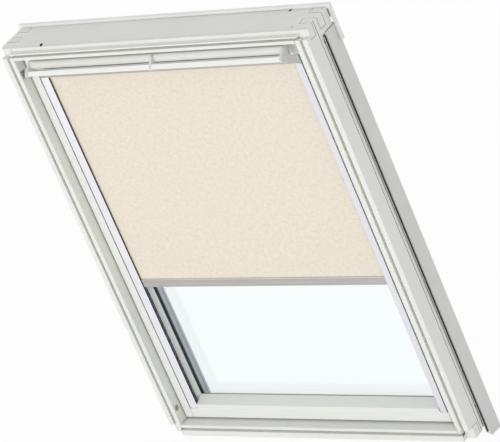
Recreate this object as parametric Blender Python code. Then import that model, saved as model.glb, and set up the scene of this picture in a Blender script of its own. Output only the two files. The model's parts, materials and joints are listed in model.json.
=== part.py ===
"""Centre-pivot roof window with a control bar and a roller blind in side guides.

Seen from the room, +X is right and +Z is up. Depth runs from the frame's room side to its
weather side, along +Y. The origin lies on the underside of the sill.
"""

import math

import bmesh
import bpy
from mathutils import Vector

# Overall sizes, in metres
FRAME_WIDTH = 0.780
FRAME_HEIGHT = 0.978
FRAME_DEPTH = 0.089
ORIGIN_DEPTH = 0.045

# Clearances
SEAT_GAP = 0.0003
SASH_SIDE_GAP = 0.0035
SASH_BOTTOM_GAP = 0.005
SASH_TOP_GAP = 0.0045
PIN_GAP = 0.0003

# Frame sections
JAMB_WIDTH = 0.030
HEAD_HEIGHT = 0.027
SILL_HEIGHT = 0.027
JAMB_INNER_LIP = 0.0107
HEAD_INNER_LIP = 0.0075
LINING_GROOVE = 0.0068
HEAD_GROOVE = 0.0055
HEAD_STRIP = 0.003
GROOVE_DEPTH = 0.0126
CORNER_RECESS = 0.0126
CORNER_BLOCK = 0.0225
HEAD_BEVEL = 0.004
FINGER_COUNT = 4
LIP_ROUND = 0.0015
SIDE_RECESS_START = 0.040
SIDE_RECESS_END = 0.0577
SIDE_RECESS_SHALLOW = 0.001
SIDE_RECESS_DEEP = 0.006

# Weather covers
COVER_WALL = 0.0012
SIDE_COVER_ROOM_DEPTH = 0.058
SIDE_COVER_BACK = 0.008
SIDE_COVER_PROUD = 0.0022
SIDE_COVER_DROP = 0.038
SIDE_COVER_TAIL = 0.0315
SIDE_COVER_TAIL_ROOM = 0.0142
SIDE_COVER_TAIL_FOLD = 0.0271
HEAD_COVER_DEPTH = 0.0095
HEAD_COVER_RISE = 0.006
HEAD_COVER_WALL = 0.0016
HEAD_COVER_FOOT = 0.004
RETURN_WIDTH = 0.0047
RETURN_GAP = 0.0006
RETURN_LENGTH = 0.081
RETURN_SETBACK = 0.0005
COVER_END_LENGTH = 0.0157
SILL_COVER_DEPTH = 0.0097
SILL_COVER_DROP = 0.014
SIDE_SEAL_TAIL = 0.015
SIDE_SEAL_SHOULDER = 0.0015
SIDE_SEAL_REACH = 0.006

# Frame seals
SEAL_WIDTH = 0.006
SEAL_PROUD = 0.0007
SEAL_GROOVE = 0.002

# Pivot of the sash and its hinges
PIVOT_DEPTH = 0.052
PIN_RADIUS = 0.006
PIN_REACH = 0.012
HINGE_HEIGHT = 0.120
HINGE_WIDTH = 0.032
HINGE_PLATE = 0.0034
HINGE_RUNNING_GAP = 0.0004

# Sash sections
SASH_ROOM_DEPTH = 0.024
SASH_BACK_SETBACK = 0.003
STILE_FACE = 0.019
SEAT_DEPTH = 0.0413
STILE_SEAT = 0.0165
STILE_TO_GLASS = 0.0237
GLASS_SEAT_DEPTH = 0.0502
RAIL_FACE = 0.0215
RAIL_GROOVE = 0.005
RAIL_GROOVE_DEPTH = 0.002
RAIL_STRIP = 0.0055
BOTTOM_RAIL_HEIGHT = 0.0435
TOP_RAIL_HEIGHT = 0.082
TOP_RAIL_LIP_DEPTH = 0.046

# Glazing
PANE = 0.004
GASKET = 0.0017
CAVITY = 0.014
SPACER_SHOWN = 0.0048
SPACER_WIDTH = 0.008
SPACER_TO_EDGE = 0.013
SPACER_HIDDEN = 0.0135
GASKET_SETBACK = 0.0004

# Sash weather covers
SASH_COVER_WALL = 0.0017
SASH_COVER_LAP = 0.008
SASH_COVER_SLOPE = 0.002

# Blind
GUIDE_WIDTH = 0.018
GUIDE_TO_STILE = 0.0035
GUIDE_LEDGE = 0.023
GUIDE_LIP = 0.0015
GUIDE_FALL = 0.0025
SLOT_FRONT = 0.0302
SLOT_BACK = 0.0328
GUIDE_WALL = 0.002
GUIDE_FOOT = 0.008
FABRIC_DEPTH = 0.0315
FABRIC_THICKNESS = 0.0005
FABRIC_IN_SLOT = 0.010
CASING_FRONT = 0.025
CASING_BACK = 0.0575
CASING_HEIGHT = 0.0209
CASING_DROP = 0.032
CASING_WALL = 0.0015
CASING_END_GAP = 0.0012
CASING_SLOT = 0.0034
CASING_END = 0.0065
ROLLER_ABOVE_FLOOR = 0.0104
ROLL_RADIUS = 0.0083
ROLL_CLEARANCE = 0.00035
TUBE_RADIUS = 0.0065
TUBE_WALL = 0.001
PLUG_LENGTH = 0.014
ROLLER_PIN_RADIUS = 0.0025
ROLLER_PIN_LENGTH = 0.0045
BLIND_DROP = 0.5248
BAR_FRONT = 0.028
BAR_HEIGHT = 0.0202
BAR_THICKNESS = 0.008
BAR_TO_GUIDE = 0.0015
BAR_GROOVE = 0.0012
BAR_POCKET = 0.008
SLIDER_RISE = 0.0017
SLIDER_HEIGHT = 0.0095
SLIDER_CLEARANCE = 0.0004

# Control bar
BAR_PIVOT_DEPTH = 0.030
BAR_PIVOT_DROP = 0.006
BAR_BARREL_RADIUS = 0.0039
BAR_PIN_RADIUS = 0.0025
BAR_PIN_LENGTH = 0.0106
FLAP_PAST_GUIDE = 0.006
FLAP_WALL = 0.0024
FLAP_HEIGHT = 0.0148
FLAP_PROUD = 0.0018
FLAP_ROUND = 0.009
GRIP_REACH = 0.0217
GRIP_DROP = 0.0217
GRIP_HEIGHT = 0.013
GRIP_THICKNESS = 0.004
GRIP_ROUND = 0.0016
GRIP_LEAN = math.radians(51.5)
ARM_WIDTH = 0.005
ARM_ARC = math.radians(54)
END_ARM_PROUD = 0.0023
END_ARM_BACK = 0.010
END_ARM_HEEL_DROP = 0.025
END_ARM_HEEL_DEPTH = 0.0022
END_ARM_LEG_DROP = 0.032
END_ARM_LEG_PROUD = 0.0056

# Latch
LOCK_HALF_WIDTH = 0.030
LOCK_WALL = 0.003
LOCK_THICKNESS = 0.012
LOCK_HEIGHT = 0.031
TONGUE_HALF_WIDTH = 0.012
TONGUE_THICKNESS = 0.006
TONGUE_HEIGHT = 0.021
TONGUE_TRAVEL = 0.006
TONGUE_CLEARANCE = 0.0003
STRIKE_HALF_WIDTH = 0.040
STRIKE_THICKNESS = 0.0017
STRIKE_MARGIN = 0.001
STRIKE_PLAY = 0.0015

# Barrel bolt
BOLT_DEPTH = 0.030
BOLT_DROP = 0.03307
BOLT_RADIUS = 0.0025
BOLT_TRAVEL = 0.010
BOLT_HOLE_DEPTH = 0.0098
KNOB_RADIUS = 0.003
KNOB_REACH = 0.007
KNOB_INSET = 0.005
BUSHING_DEPTH = 0.0109
BUSHING_RADIUS = 0.006
BUSHING_THICKNESS = 0.0016
VENT_DEPTH = 0.0097
VENT_SLOT_WIDTH = 0.0058
VENT_SLOT_RISE = 0.0071
VENT_MARGIN = 0.003

ARC_STEPS = 3
ROUND_SIDES = 24

# Places worked out from the sizes
HALF_WIDTH = FRAME_WIDTH / 2
JAMB_INNER = HALF_WIDTH - JAMB_WIDTH
HEAD_INNER = FRAME_HEIGHT - HEAD_HEIGHT
LIP_SPLIT = HEAD_INNER + HEAD_INNER_LIP
SILL_LIP_SPLIT = SILL_HEIGHT - HEAD_INNER_LIP
SIDE_COVER_BACK_DEPTH = FRAME_DEPTH + SIDE_COVER_BACK
SIDE_COVER_TOP = FRAME_HEIGHT - SIDE_COVER_DROP
SEAL_GROOVE_DEPTHS = (FRAME_DEPTH - SEAL_WIDTH - 2 * SEAT_GAP, FRAME_DEPTH + SEAL_WIDTH)
PIVOT_HEIGHT = FRAME_HEIGHT / 2
SASH_OUTER = JAMB_INNER - SASH_SIDE_GAP
SASH_BOTTOM = SILL_HEIGHT + SASH_BOTTOM_GAP
SASH_TOP = HEAD_INNER - SASH_TOP_GAP
SASH_BACK_DEPTH = FRAME_DEPTH - SASH_BACK_SETBACK
STILE_INNER = SASH_OUTER - STILE_FACE
STILE_BEVEL_START = STILE_INNER - STILE_SEAT
GLASS_EDGE_SIDE = STILE_INNER - STILE_TO_GLASS
GLASS_EDGE_BOTTOM = SASH_BOTTOM + BOTTOM_RAIL_HEIGHT
GLASS_EDGE_TOP = SASH_TOP - TOP_RAIL_HEIGHT
RAIL_FACE_TOP = SASH_BOTTOM + RAIL_FACE
PANE_SIDE = GLASS_EDGE_SIDE - SPACER_SHOWN + SPACER_TO_EDGE
PANE_BOTTOM = GLASS_EDGE_BOTTOM - SPACER_HIDDEN - SPACER_TO_EDGE
PANE_TOP = GLASS_EDGE_TOP + SPACER_TO_EDGE
INNER_PANE_DEPTH = GLASS_SEAT_DEPTH + GASKET + 2 * SEAT_GAP
OUTER_PANE_DEPTH = INNER_PANE_DEPTH + PANE + CAVITY
GLAZING_BACK = OUTER_PANE_DEPTH + PANE
SASH_COVER_DEPTH = SASH_BACK_DEPTH + SEAT_GAP
GUIDE_OUTER = STILE_INNER - GUIDE_TO_STILE
GUIDE_INNER = GUIDE_OUTER - GUIDE_WIDTH
GUIDE_BOTTOM = SASH_BOTTOM + GUIDE_LEDGE
CASING_TOP = SASH_TOP - CASING_DROP
CASING_BOTTOM = CASING_TOP - CASING_HEIGHT
GUIDE_TOP = CASING_BOTTOM - SEAT_GAP
FABRIC_HALF_WIDTH = GUIDE_INNER + FABRIC_IN_SLOT
CASING_HALF_WIDTH = FABRIC_HALF_WIDTH + CASING_END_GAP
ROLLER_HEIGHT = CASING_BOTTOM + ROLLER_ABOVE_FLOOR
ROLLER_DEPTH = FABRIC_DEPTH + FABRIC_THICKNESS / 2 + ROLL_CLEARANCE + ROLL_RADIUS
BAR_BOTTOM = CASING_BOTTOM - BLIND_DROP
BAR_TOP = BAR_BOTTOM + BAR_HEIGHT
BAR_BACK = BAR_FRONT + BAR_THICKNESS
BAR_HALF_WIDTH = GUIDE_INNER - BAR_TO_GUIDE
SLIDER_BOTTOM = BAR_BOTTOM + SLIDER_RISE
BAR_PIVOT_HEIGHT = SASH_TOP - BAR_PIVOT_DROP
FLAP_HALF_WIDTH = GUIDE_INNER + FLAP_PAST_GUIDE
FLAP_TOP = SASH_TOP - SEAT_GAP
FLAP_BOTTOM = FLAP_TOP - FLAP_HEIGHT
LOCK_DEPTH = CASING_BACK + LOCK_WALL + LOCK_THICKNESS / 2
KNOB_ACROSS = STILE_INNER + KNOB_INSET
BOLT_HEIGHT = SASH_TOP - BOLT_DROP
BOLT_SWING_RADIUS = math.hypot(PIVOT_DEPTH - BOLT_DEPTH, BOLT_HEIGHT - PIVOT_HEIGHT)
VENT_HEIGHT = PIVOT_HEIGHT + math.sqrt(BOLT_SWING_RADIUS ** 2 - (PIVOT_DEPTH - VENT_DEPTH) ** 2)
BUSHING_HEIGHT = PIVOT_HEIGHT - math.sqrt(BOLT_SWING_RADIUS ** 2 - (PIVOT_DEPTH - BUSHING_DEPTH) ** 2)

# Finishes: colour, roughness, metallic
WHITE_FRAME = ((0.66, 0.67, 0.64), 0.42, 0.0)
WHITE_SASH = ((0.73, 0.74, 0.71), 0.40, 0.0)
WHITE_BAR = ((0.82, 0.82, 0.79), 0.35, 0.0)
COVER_METAL = ((0.64, 0.64, 0.62), 0.38, 0.9)
GUIDE_METAL = ((0.60, 0.59, 0.63), 0.35, 0.9)
STEEL = ((0.55, 0.55, 0.56), 0.30, 1.0)
DARK_RUBBER = ((0.05, 0.05, 0.05), 0.80, 0.0)
GREY_PLASTIC = ((0.50, 0.50, 0.50), 0.45, 0.0)
GLASS_CLEAR = ((0.85, 0.93, 0.94), 0.03, 0.0)
FABRIC_BEIGE = ((0.84, 0.78, 0.67), 0.90, 0.0)

for old in list(bpy.data.objects):
    bpy.data.objects.remove(old)


def to_y(depth):
    """World Y of a depth measured from the frame's room side."""
    return depth - ORIGIN_DEPTH


def rounded(corners):
    """An outline from corners (u, v) or (u, v, radius), with an arc where a radius is given."""
    outline = []
    count = len(corners)
    for index, corner in enumerate(corners):
        here = Vector(corner[:2])
        radius = corner[2] if len(corner) > 2 else 0.0
        if radius == 0.0:
            outline.append(tuple(here))
            continue
        before = (Vector(corners[index - 1][:2]) - here).normalized()
        after = (Vector(corners[(index + 1) % count][:2]) - here).normalized()
        half_angle = before.angle(after) / 2
        reach = radius / math.tan(half_angle)
        centre = here + (before + after).normalized() * radius / math.sin(half_angle)
        start = here + before * reach - centre
        end = here + after * reach - centre
        for step in range(ARC_STEPS + 1):
            arm = start.lerp(end, step / ARC_STEPS).normalized() * radius
            outline.append(tuple(centre + arm))
    return outline


def grown(outline, gap):
    """The outline with every side moved outwards by the gap."""
    area = 0.0
    count = len(outline)
    for index in range(count):
        u0, v0 = outline[index]
        u1, v1 = outline[(index + 1) % count]
        area += u0 * v1 - u1 * v0
    turn = 1.0 if area > 0 else -1.0
    result = []
    for index in range(count):
        here = Vector(outline[index])
        along_in = (here - Vector(outline[index - 1])).normalized()
        along_out = (Vector(outline[(index + 1) % count]) - here).normalized()
        normal_in = Vector((along_in.y, -along_in.x)) * turn
        normal_out = Vector((along_out.y, -along_out.x)) * turn
        middle = normal_in + normal_out
        result.append(tuple(here + middle * gap * 2 / middle.length_squared))
    return result


def swept(name, points, sweep):
    """One closed body: a flat outline in space swept along a vector."""
    mesh = bpy.data.meshes.new(name)
    shape = bmesh.new()
    face = shape.faces.new([shape.verts.new(point) for point in points])
    made = bmesh.ops.extrude_face_region(shape, geom=[face])
    moved = [item for item in made["geom"] if isinstance(item, bmesh.types.BMVert)]
    bmesh.ops.translate(shape, verts=moved, vec=sweep)
    bmesh.ops.recalc_face_normals(shape, faces=shape.faces)
    shape.to_mesh(mesh)
    shape.free()
    obj = bpy.data.objects.new(name, mesh)
    bpy.context.scene.collection.objects.link(obj)
    return obj


def along_z(name, outline, bottom, top, side=1):
    """A body from an outline of (across, depth) swept upwards."""
    points = [(side * across, to_y(depth), bottom) for across, depth in outline]
    return swept(name, points, Vector((0, 0, top - bottom)))


def along_x(name, outline, start, end):
    """A body from an outline of (depth, height) swept across."""
    points = [(start, to_y(depth), height) for depth, height in outline]
    return swept(name, points, Vector((end - start, 0, 0)))


def block(name, across, depths, heights, side=1):
    """A box between pairs of across, depth and height values."""
    outline = [
        (across[0], depths[0]),
        (across[1], depths[0]),
        (across[1], depths[1]),
        (across[0], depths[1]),
    ]
    return along_z(name, outline, heights[0], heights[1], side)


def circle(centre_depth, centre_height, radius, sides=ROUND_SIDES):
    """Points of a circle in the depth and height plane."""
    points = []
    for step in range(sides):
        angle = 2 * math.pi * (step + 0.5) / sides
        points.append((centre_depth + radius * math.cos(angle), centre_height + radius * math.sin(angle)))
    return points


def rod(name, depth, height, radius, start, end, sides=ROUND_SIDES):
    """A round bar across the window."""
    obj = along_x(name, circle(depth, height, radius, sides), start, end)
    obj.data.shade_smooth()
    obj.data.set_sharp_from_angle(angle=math.radians(40))
    return obj


def combine(obj, tool, operation):
    """Cut a tool from an object, or join the two, and leave the tool out of the model."""
    modifier = obj.modifiers.new(operation.lower(), "BOOLEAN")
    modifier.operation = operation
    modifier.object = tool
    modifier.solver = "EXACT"
    tool.hide_render = True
    tool.display_type = "WIRE"
    tool.name = "tool_for_" + obj.name
    return obj


def cut(obj, tool):
    """Take a tool's space out of an object."""
    return combine(obj, tool, "DIFFERENCE")


def join(obj, tool):
    """Make an object and a tool one body."""
    return combine(obj, tool, "UNION")


def anchor(name, across, depth, height, parent=None):
    """An empty at a joint's axis."""
    empty = bpy.data.objects.new(name, None)
    bpy.context.scene.collection.objects.link(empty)
    place = Vector((across, to_y(depth), height))
    empty["place"] = place
    if parent is not None:
        empty.parent = parent
        place = place - Vector(parent["place"])
    empty.location = place
    return empty


def place_on(obj, empty, finish):
    """Give a finished piece its material and set its origin on its carrier's empty."""
    colour, roughness, metallic = finish
    material = bpy.data.materials.new(obj.name + "_finish")
    material.use_nodes = True
    shader = material.node_tree.nodes["Principled BSDF"]
    shader.inputs["Base Color"].default_value = (*colour, 1.0)
    shader.inputs["Roughness"].default_value = roughness
    shader.inputs["Metallic"].default_value = metallic
    obj.data.materials.append(material)
    for vertex in obj.data.vertices:
        vertex.co -= Vector(empty["place"])
    obj.parent = empty
    return obj


def side_name(base, side):
    """A left or right piece's name."""
    return base + ("_right" if side > 0 else "_left")


# Outlines used by more than one piece

def jamb_outline():
    """Jamb section: two lips with the lining groove between them."""
    groove_start = JAMB_INNER + JAMB_INNER_LIP
    groove_end = groove_start + LINING_GROOVE
    return rounded([
        (JAMB_INNER, 0.0, LIP_ROUND),
        (groove_start, 0.0, LIP_ROUND),
        (groove_start, GROOVE_DEPTH),
        (groove_end, GROOVE_DEPTH),
        (groove_end, 0.0, LIP_ROUND),
        (HALF_WIDTH, 0.0, LIP_ROUND),
        (HALF_WIDTH, FRAME_DEPTH),
        (JAMB_INNER, FRAME_DEPTH),
    ])


def head_outline():
    """Head section: inner lip, lining groove, raised strip and the stepped, bevelled top."""
    groove_start = HEAD_INNER + HEAD_INNER_LIP
    groove_end = groove_start + HEAD_GROOVE
    strip_top = groove_end + HEAD_STRIP
    return rounded([
        (0.0, HEAD_INNER, LIP_ROUND),
        (0.0, groove_start, LIP_ROUND),
        (GROOVE_DEPTH, groove_start),
        (GROOVE_DEPTH, groove_end),
        (0.0, groove_end),
        (0.0, strip_top),
        (CORNER_RECESS, strip_top),
        (CORNER_RECESS, FRAME_HEIGHT - HEAD_BEVEL),
        (CORNER_RECESS + HEAD_BEVEL, FRAME_HEIGHT),
        (FRAME_DEPTH, FRAME_HEIGHT),
        (FRAME_DEPTH, HEAD_INNER),
    ])


def sill_outline():
    """Sill section: two lips with the lining groove between them."""
    groove_top = SILL_HEIGHT - HEAD_INNER_LIP
    groove_bottom = groove_top - LINING_GROOVE
    return rounded([
        (0.0, 0.0),
        (0.0, groove_bottom, LIP_ROUND),
        (GROOVE_DEPTH, groove_bottom),
        (GROOVE_DEPTH, groove_top),
        (0.0, groove_top, LIP_ROUND),
        (0.0, SILL_HEIGHT, LIP_ROUND),
        (FRAME_DEPTH, SILL_HEIGHT),
        (FRAME_DEPTH, 0.0),
    ])


def stile_outline():
    """Stile section: room face, seat behind the guide, bevel to the glass and glazing rebate."""
    rebate = PANE_SIDE + SEAT_GAP
    return [
        (SASH_OUTER, SASH_ROOM_DEPTH),
        (STILE_INNER, SASH_ROOM_DEPTH),
        (STILE_INNER, SEAT_DEPTH),
        (STILE_BEVEL_START, SEAT_DEPTH),
        (GLASS_EDGE_SIDE, GLASS_SEAT_DEPTH),
        (rebate, GLASS_SEAT_DEPTH),
        (rebate, SASH_BACK_DEPTH),
        (SASH_OUTER, SASH_BACK_DEPTH),
    ]


# Frame

def finger_depths():
    """Depths at which the corner fingers change owner, room side first."""
    pitch = (FRAME_DEPTH - CORNER_RECESS) / FINGER_COUNT
    return [CORNER_RECESS + pitch * index for index in range(FINGER_COUNT + 1)]


def cut_rail_corner(rail, side, inner, outer, split, block_edge):
    """Leave the jamb's share of a corner out of the head or the sill."""
    beyond = HALF_WIDTH + JAMB_WIDTH
    edges = finger_depths()
    up = 1 if outer > inner else -1
    lips = block("lips", (JAMB_INNER - SEAT_GAP, beyond), (-CORNER_RECESS, CORNER_RECESS + SEAT_GAP / 2),
                 (inner - up * HEAD_HEIGHT, split + up * SEAT_GAP / 2), side)
    cut(rail, lips)
    face = block("face", (block_edge, beyond), (-CORNER_RECESS, CORNER_RECESS + SEAT_GAP / 2),
                 (inner - up * HEAD_HEIGHT, outer + up * HEAD_HEIGHT), side)
    cut(rail, face)
    shelf = block("shelf", (JAMB_INNER - SEAT_GAP, beyond), (-CORNER_RECESS, FRAME_DEPTH + CORNER_RECESS),
                  (inner - up * HEAD_HEIGHT, inner + up * SEAT_GAP), side)
    cut(rail, shelf)
    for index in range(1, FINGER_COUNT, 2):
        last = index == FINGER_COUNT - 1
        end = edges[index + 1] + (CORNER_RECESS if last else SEAT_GAP / 2)
        finger = block("finger", (JAMB_INNER - SEAT_GAP, beyond), (edges[index] - SEAT_GAP / 2, end),
                       (inner - up * HEAD_HEIGHT, outer + up * HEAD_HEIGHT), side)
        cut(rail, finger)


def cut_jamb_corner(jamb, side, inner, outer, split):
    """Leave the rail's share of a corner out of a jamb."""
    within = (JAMB_INNER - JAMB_WIDTH, HALF_WIDTH + JAMB_WIDTH)
    edges = finger_depths()
    up = 1 if outer > inner else -1
    lips = block("lips", within, (-CORNER_RECESS, CORNER_RECESS + SEAT_GAP),
                 (split - up * SEAT_GAP / 2, outer + up * HEAD_HEIGHT), side)
    cut(jamb, lips)
    for index in range(0, FINGER_COUNT, 2):
        start = edges[index] - SEAT_GAP / 2
        finger = block("finger", within, (start, edges[index + 1] + SEAT_GAP / 2),
                       (inner, outer + up * HEAD_HEIGHT), side)
        cut(jamb, finger)


def side_recess(side):
    """Space of the recess in the frame's outer side, where the side cover sits."""
    beyond = HALF_WIDTH + JAMB_WIDTH
    outline = [
        (beyond, SIDE_RECESS_START),
        (HALF_WIDTH - SIDE_RECESS_SHALLOW, SIDE_RECESS_START),
        (HALF_WIDTH - SIDE_RECESS_DEEP, SIDE_RECESS_END),
        (HALF_WIDTH - SIDE_RECESS_DEEP, FRAME_DEPTH + CORNER_RECESS),
        (beyond, FRAME_DEPTH + CORNER_RECESS),
    ]
    return along_z("recess", outline, -SILL_HEIGHT, SIDE_COVER_TOP + SEAT_GAP, side)


def hinge_block(name, across, gap, side):
    """A hinge plate's box, or its pocket with a gap around it."""
    half_width = HINGE_WIDTH / 2 + gap
    half_height = HINGE_HEIGHT / 2 + gap
    return block(name, across, (PIVOT_DEPTH - half_width, PIVOT_DEPTH + half_width),
                 (PIVOT_HEIGHT - half_height, PIVOT_HEIGHT + half_height), side)


def make_head(carrier):
    """Head of the frame, with pockets for the strike plate and the seal."""
    head = along_x("frame_head", head_outline(), -HALF_WIDTH, HALF_WIDTH)
    for side in (-1, 1):
        cut_rail_corner(head, side, HEAD_INNER, FRAME_HEIGHT, LIP_SPLIT, HALF_WIDTH - CORNER_BLOCK)
    half_strike = LOCK_THICKNESS / 2 + STRIKE_MARGIN
    pocket = block("pocket", (-STRIKE_HALF_WIDTH - SEAT_GAP, STRIKE_HALF_WIDTH + SEAT_GAP),
                   (LOCK_DEPTH - half_strike - SEAT_GAP, LOCK_DEPTH + half_strike + SEAT_GAP),
                   (HEAD_INNER - HEAD_HEIGHT, HEAD_INNER + STRIKE_THICKNESS + 2 * SEAT_GAP))
    cut(head, pocket)
    groove = block("groove", (-FRAME_WIDTH, FRAME_WIDTH), SEAL_GROOVE_DEPTHS,
                   (HEAD_INNER - HEAD_HEIGHT, HEAD_INNER + SEAL_GROOVE))
    cut(head, groove)
    place_on(head, carrier, WHITE_FRAME)


def make_sill(carrier):
    """Sill of the frame."""
    sill = along_x("frame_sill", sill_outline(), -HALF_WIDTH, HALF_WIDTH)
    for side in (-1, 1):
        cut_rail_corner(sill, side, SILL_HEIGHT, 0.0, SILL_LIP_SPLIT, HALF_WIDTH - CORNER_BLOCK)
        cut(sill, side_recess(side))
    groove = block("groove", (-FRAME_WIDTH, FRAME_WIDTH), SEAL_GROOVE_DEPTHS,
                   (SILL_HEIGHT - SEAL_GROOVE, 2 * SILL_HEIGHT))
    cut(sill, groove)
    place_on(sill, carrier, WHITE_FRAME)


def make_jamb(carrier, side):
    """Jamb with its outer recess, hinge pocket, pin bore and, on the left, the bolt's holes."""
    jamb = along_z(side_name("frame_jamb", side), jamb_outline(), 0.0, FRAME_HEIGHT, side)
    cut_jamb_corner(jamb, side, HEAD_INNER, FRAME_HEIGHT, LIP_SPLIT)
    cut_jamb_corner(jamb, side, SILL_HEIGHT, 0.0, SILL_LIP_SPLIT)
    outer_lip = block("outer_lip", (HALF_WIDTH - CORNER_BLOCK, HALF_WIDTH + JAMB_WIDTH),
                      (-CORNER_RECESS, CORNER_RECESS), (-SILL_HEIGHT, SILL_HEIGHT), side)
    cut(jamb, outer_lip)
    cut(jamb, side_recess(side))
    pocket = hinge_block("pocket", (JAMB_INNER - JAMB_WIDTH, JAMB_INNER + HINGE_PLATE + 2 * SEAT_GAP),
                         SEAT_GAP, side)
    cut(jamb, pocket)
    bore = rod("bore", PIVOT_DEPTH, PIVOT_HEIGHT, PIN_RADIUS + 2 * PIN_GAP,
               side * JAMB_INNER, side * (JAMB_INNER + PIN_REACH + 4 * PIN_GAP))
    cut(jamb, bore)
    groove = block("groove", (JAMB_INNER - JAMB_WIDTH, JAMB_INNER + SEAL_GROOVE), SEAL_GROOVE_DEPTHS,
                   (-SILL_HEIGHT, 2 * FRAME_HEIGHT), side)
    cut(jamb, groove)
    if side < 0:
        cut_bolt_holes(jamb, side)
    place_on(jamb, carrier, WHITE_FRAME)


def cut_bolt_holes(jamb, side):
    """Holes for the barrel bolt: closed, ventilation slot and cleaning position."""
    hole_radius = BOLT_RADIUS + PIN_GAP
    for depth, height in ((BOLT_DEPTH, BOLT_HEIGHT), (BUSHING_DEPTH, BUSHING_HEIGHT)):
        hole = rod("hole", depth, height, hole_radius,
                   side * (JAMB_INNER - JAMB_WIDTH), side * (JAMB_INNER + BOLT_HOLE_DEPTH))
        cut(jamb, hole)
    seat = rod("seat", BUSHING_DEPTH, BUSHING_HEIGHT, BUSHING_RADIUS + SEAT_GAP,
               side * (JAMB_INNER - JAMB_WIDTH), side * (JAMB_INNER + BUSHING_THICKNESS + SEAT_GAP))
    cut(jamb, seat)
    slot_depths, slot_heights = vent_slot()
    slot = block("slot", (JAMB_INNER - JAMB_WIDTH, JAMB_INNER + BOLT_HOLE_DEPTH),
                 slot_depths, slot_heights, side)
    cut(jamb, slot)
    margin = VENT_MARGIN + SEAT_GAP
    plate = block("plate", (JAMB_INNER - JAMB_WIDTH, JAMB_INNER + BUSHING_THICKNESS + SEAT_GAP),
                  (slot_depths[0] - margin, slot_depths[1] + margin),
                  (slot_heights[0] - margin, slot_heights[1] + margin), side)
    cut(jamb, plate)


def vent_slot():
    """Depths and heights of the ventilation slot."""
    depths = (VENT_DEPTH - VENT_SLOT_WIDTH / 2, VENT_DEPTH + VENT_SLOT_WIDTH / 2)
    heights = (VENT_HEIGHT - VENT_SLOT_WIDTH / 2, VENT_HEIGHT + VENT_SLOT_RISE)
    return depths, heights


def make_side_cover(carrier, side):
    """Aluminium cover that wraps a jamb from the recess to the weather side."""
    room = SIDE_COVER_ROOM_DEPTH
    back = SIDE_COVER_BACK_DEPTH
    outer = HALF_WIDTH + SIDE_COVER_PROUD
    inner_edge = HALF_WIDTH - SIDE_RECESS_DEEP + SEAT_GAP
    lap = JAMB_INNER + 2 * SEAT_GAP
    outline = rounded([
        (inner_edge, room),
        (outer, room, 2 * COVER_WALL),
        (outer, back, 2 * COVER_WALL),
        (lap, back),
        (lap, back - COVER_WALL),
        (outer - COVER_WALL, back - COVER_WALL, COVER_WALL),
        (outer - COVER_WALL, room + COVER_WALL, COVER_WALL),
        (inner_edge, room + COVER_WALL),
    ])
    cover = along_z(side_name("side_cover", side), outline, -SIDE_COVER_TAIL, SIDE_COVER_TOP, side)
    low = -2 * SIDE_COVER_TAIL
    tail = along_x("tail", [
        (room - COVER_WALL, -SIDE_COVER_TAIL_ROOM),
        (room + 2 * COVER_WALL, -SIDE_COVER_TAIL_FOLD),
        (back + COVER_WALL, -SIDE_COVER_TAIL),
        (back + COVER_WALL, low),
        (room - COVER_WALL, low),
    ], side * (JAMB_INNER - JAMB_WIDTH), side * (HALF_WIDTH + JAMB_WIDTH))
    cut(cover, tail)
    place_on(cover, carrier, COVER_METAL)


def make_side_seal(carrier, side):
    """Seal strip in the jamb's recess, against the side cover's room edge."""
    floor_start = HALF_WIDTH - SIDE_RECESS_DEEP + SEAT_GAP
    depth_end = SIDE_COVER_ROOM_DEPTH - SEAT_GAP
    outline = [
        (floor_start + SEAT_GAP, SIDE_RECESS_END),
        (floor_start + SEAT_GAP, depth_end),
        (HALF_WIDTH - SIDE_RECESS_SHALLOW, depth_end),
        (HALF_WIDTH - SIDE_RECESS_SHALLOW, SIDE_RECESS_END - SIDE_SEAL_SHOULDER),
        (floor_start + 3 * SIDE_RECESS_SHALLOW, SIDE_RECESS_END - SIDE_SEAL_REACH),
    ]
    top = SIDE_COVER_TOP - SIDE_RECESS_DEEP
    seal = along_z(side_name("side_seal", side), outline, -SIDE_SEAL_TAIL, top, side)
    place_on(seal, carrier, DARK_RUBBER)


def return_span():
    """Across values of the head cover's side returns."""
    start = HALF_WIDTH + SIDE_COVER_PROUD + RETURN_GAP
    return start, start + RETURN_WIDTH


def make_head_cover(carrier):
    """Head cover: rim above the head, weather face and two side returns."""
    front = FRAME_DEPTH + SEAT_GAP
    back = FRAME_DEPTH + HEAD_COVER_DEPTH
    top = FRAME_HEIGHT + HEAD_COVER_RISE
    inner, outer = return_span()
    outline = rounded([
        (front, FRAME_HEIGHT - HEAD_COVER_FOOT),
        (front, top, LIP_ROUND),
        (back, top, LIP_ROUND),
        (back, HEAD_INNER + SEAT_GAP),
        (back - HEAD_COVER_WALL, HEAD_INNER + SEAT_GAP),
        (back - HEAD_COVER_WALL, FRAME_HEIGHT - HEAD_COVER_FOOT),
    ])
    cover = along_x("head_cover", outline, -outer, outer)
    for side in (-1, 1):
        turn_down = block("turn_down", (inner, outer), (front, back - RETURN_SETBACK),
                          (top - RETURN_LENGTH + COVER_END_LENGTH + SEAT_GAP, FRAME_HEIGHT), side)
        join(cover, turn_down)
    place_on(cover, carrier, COVER_METAL)


def make_cover_end(carrier, side):
    """End block under a return of the head cover."""
    inner, outer = return_span()
    bottom = FRAME_HEIGHT + HEAD_COVER_RISE - RETURN_LENGTH
    end = block(side_name("cover_end", side), (inner, outer + SEAT_GAP),
                (FRAME_DEPTH, FRAME_DEPTH + HEAD_COVER_DEPTH), (bottom, bottom + COVER_END_LENGTH), side)
    place_on(end, carrier, GREY_PLASTIC)


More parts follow.
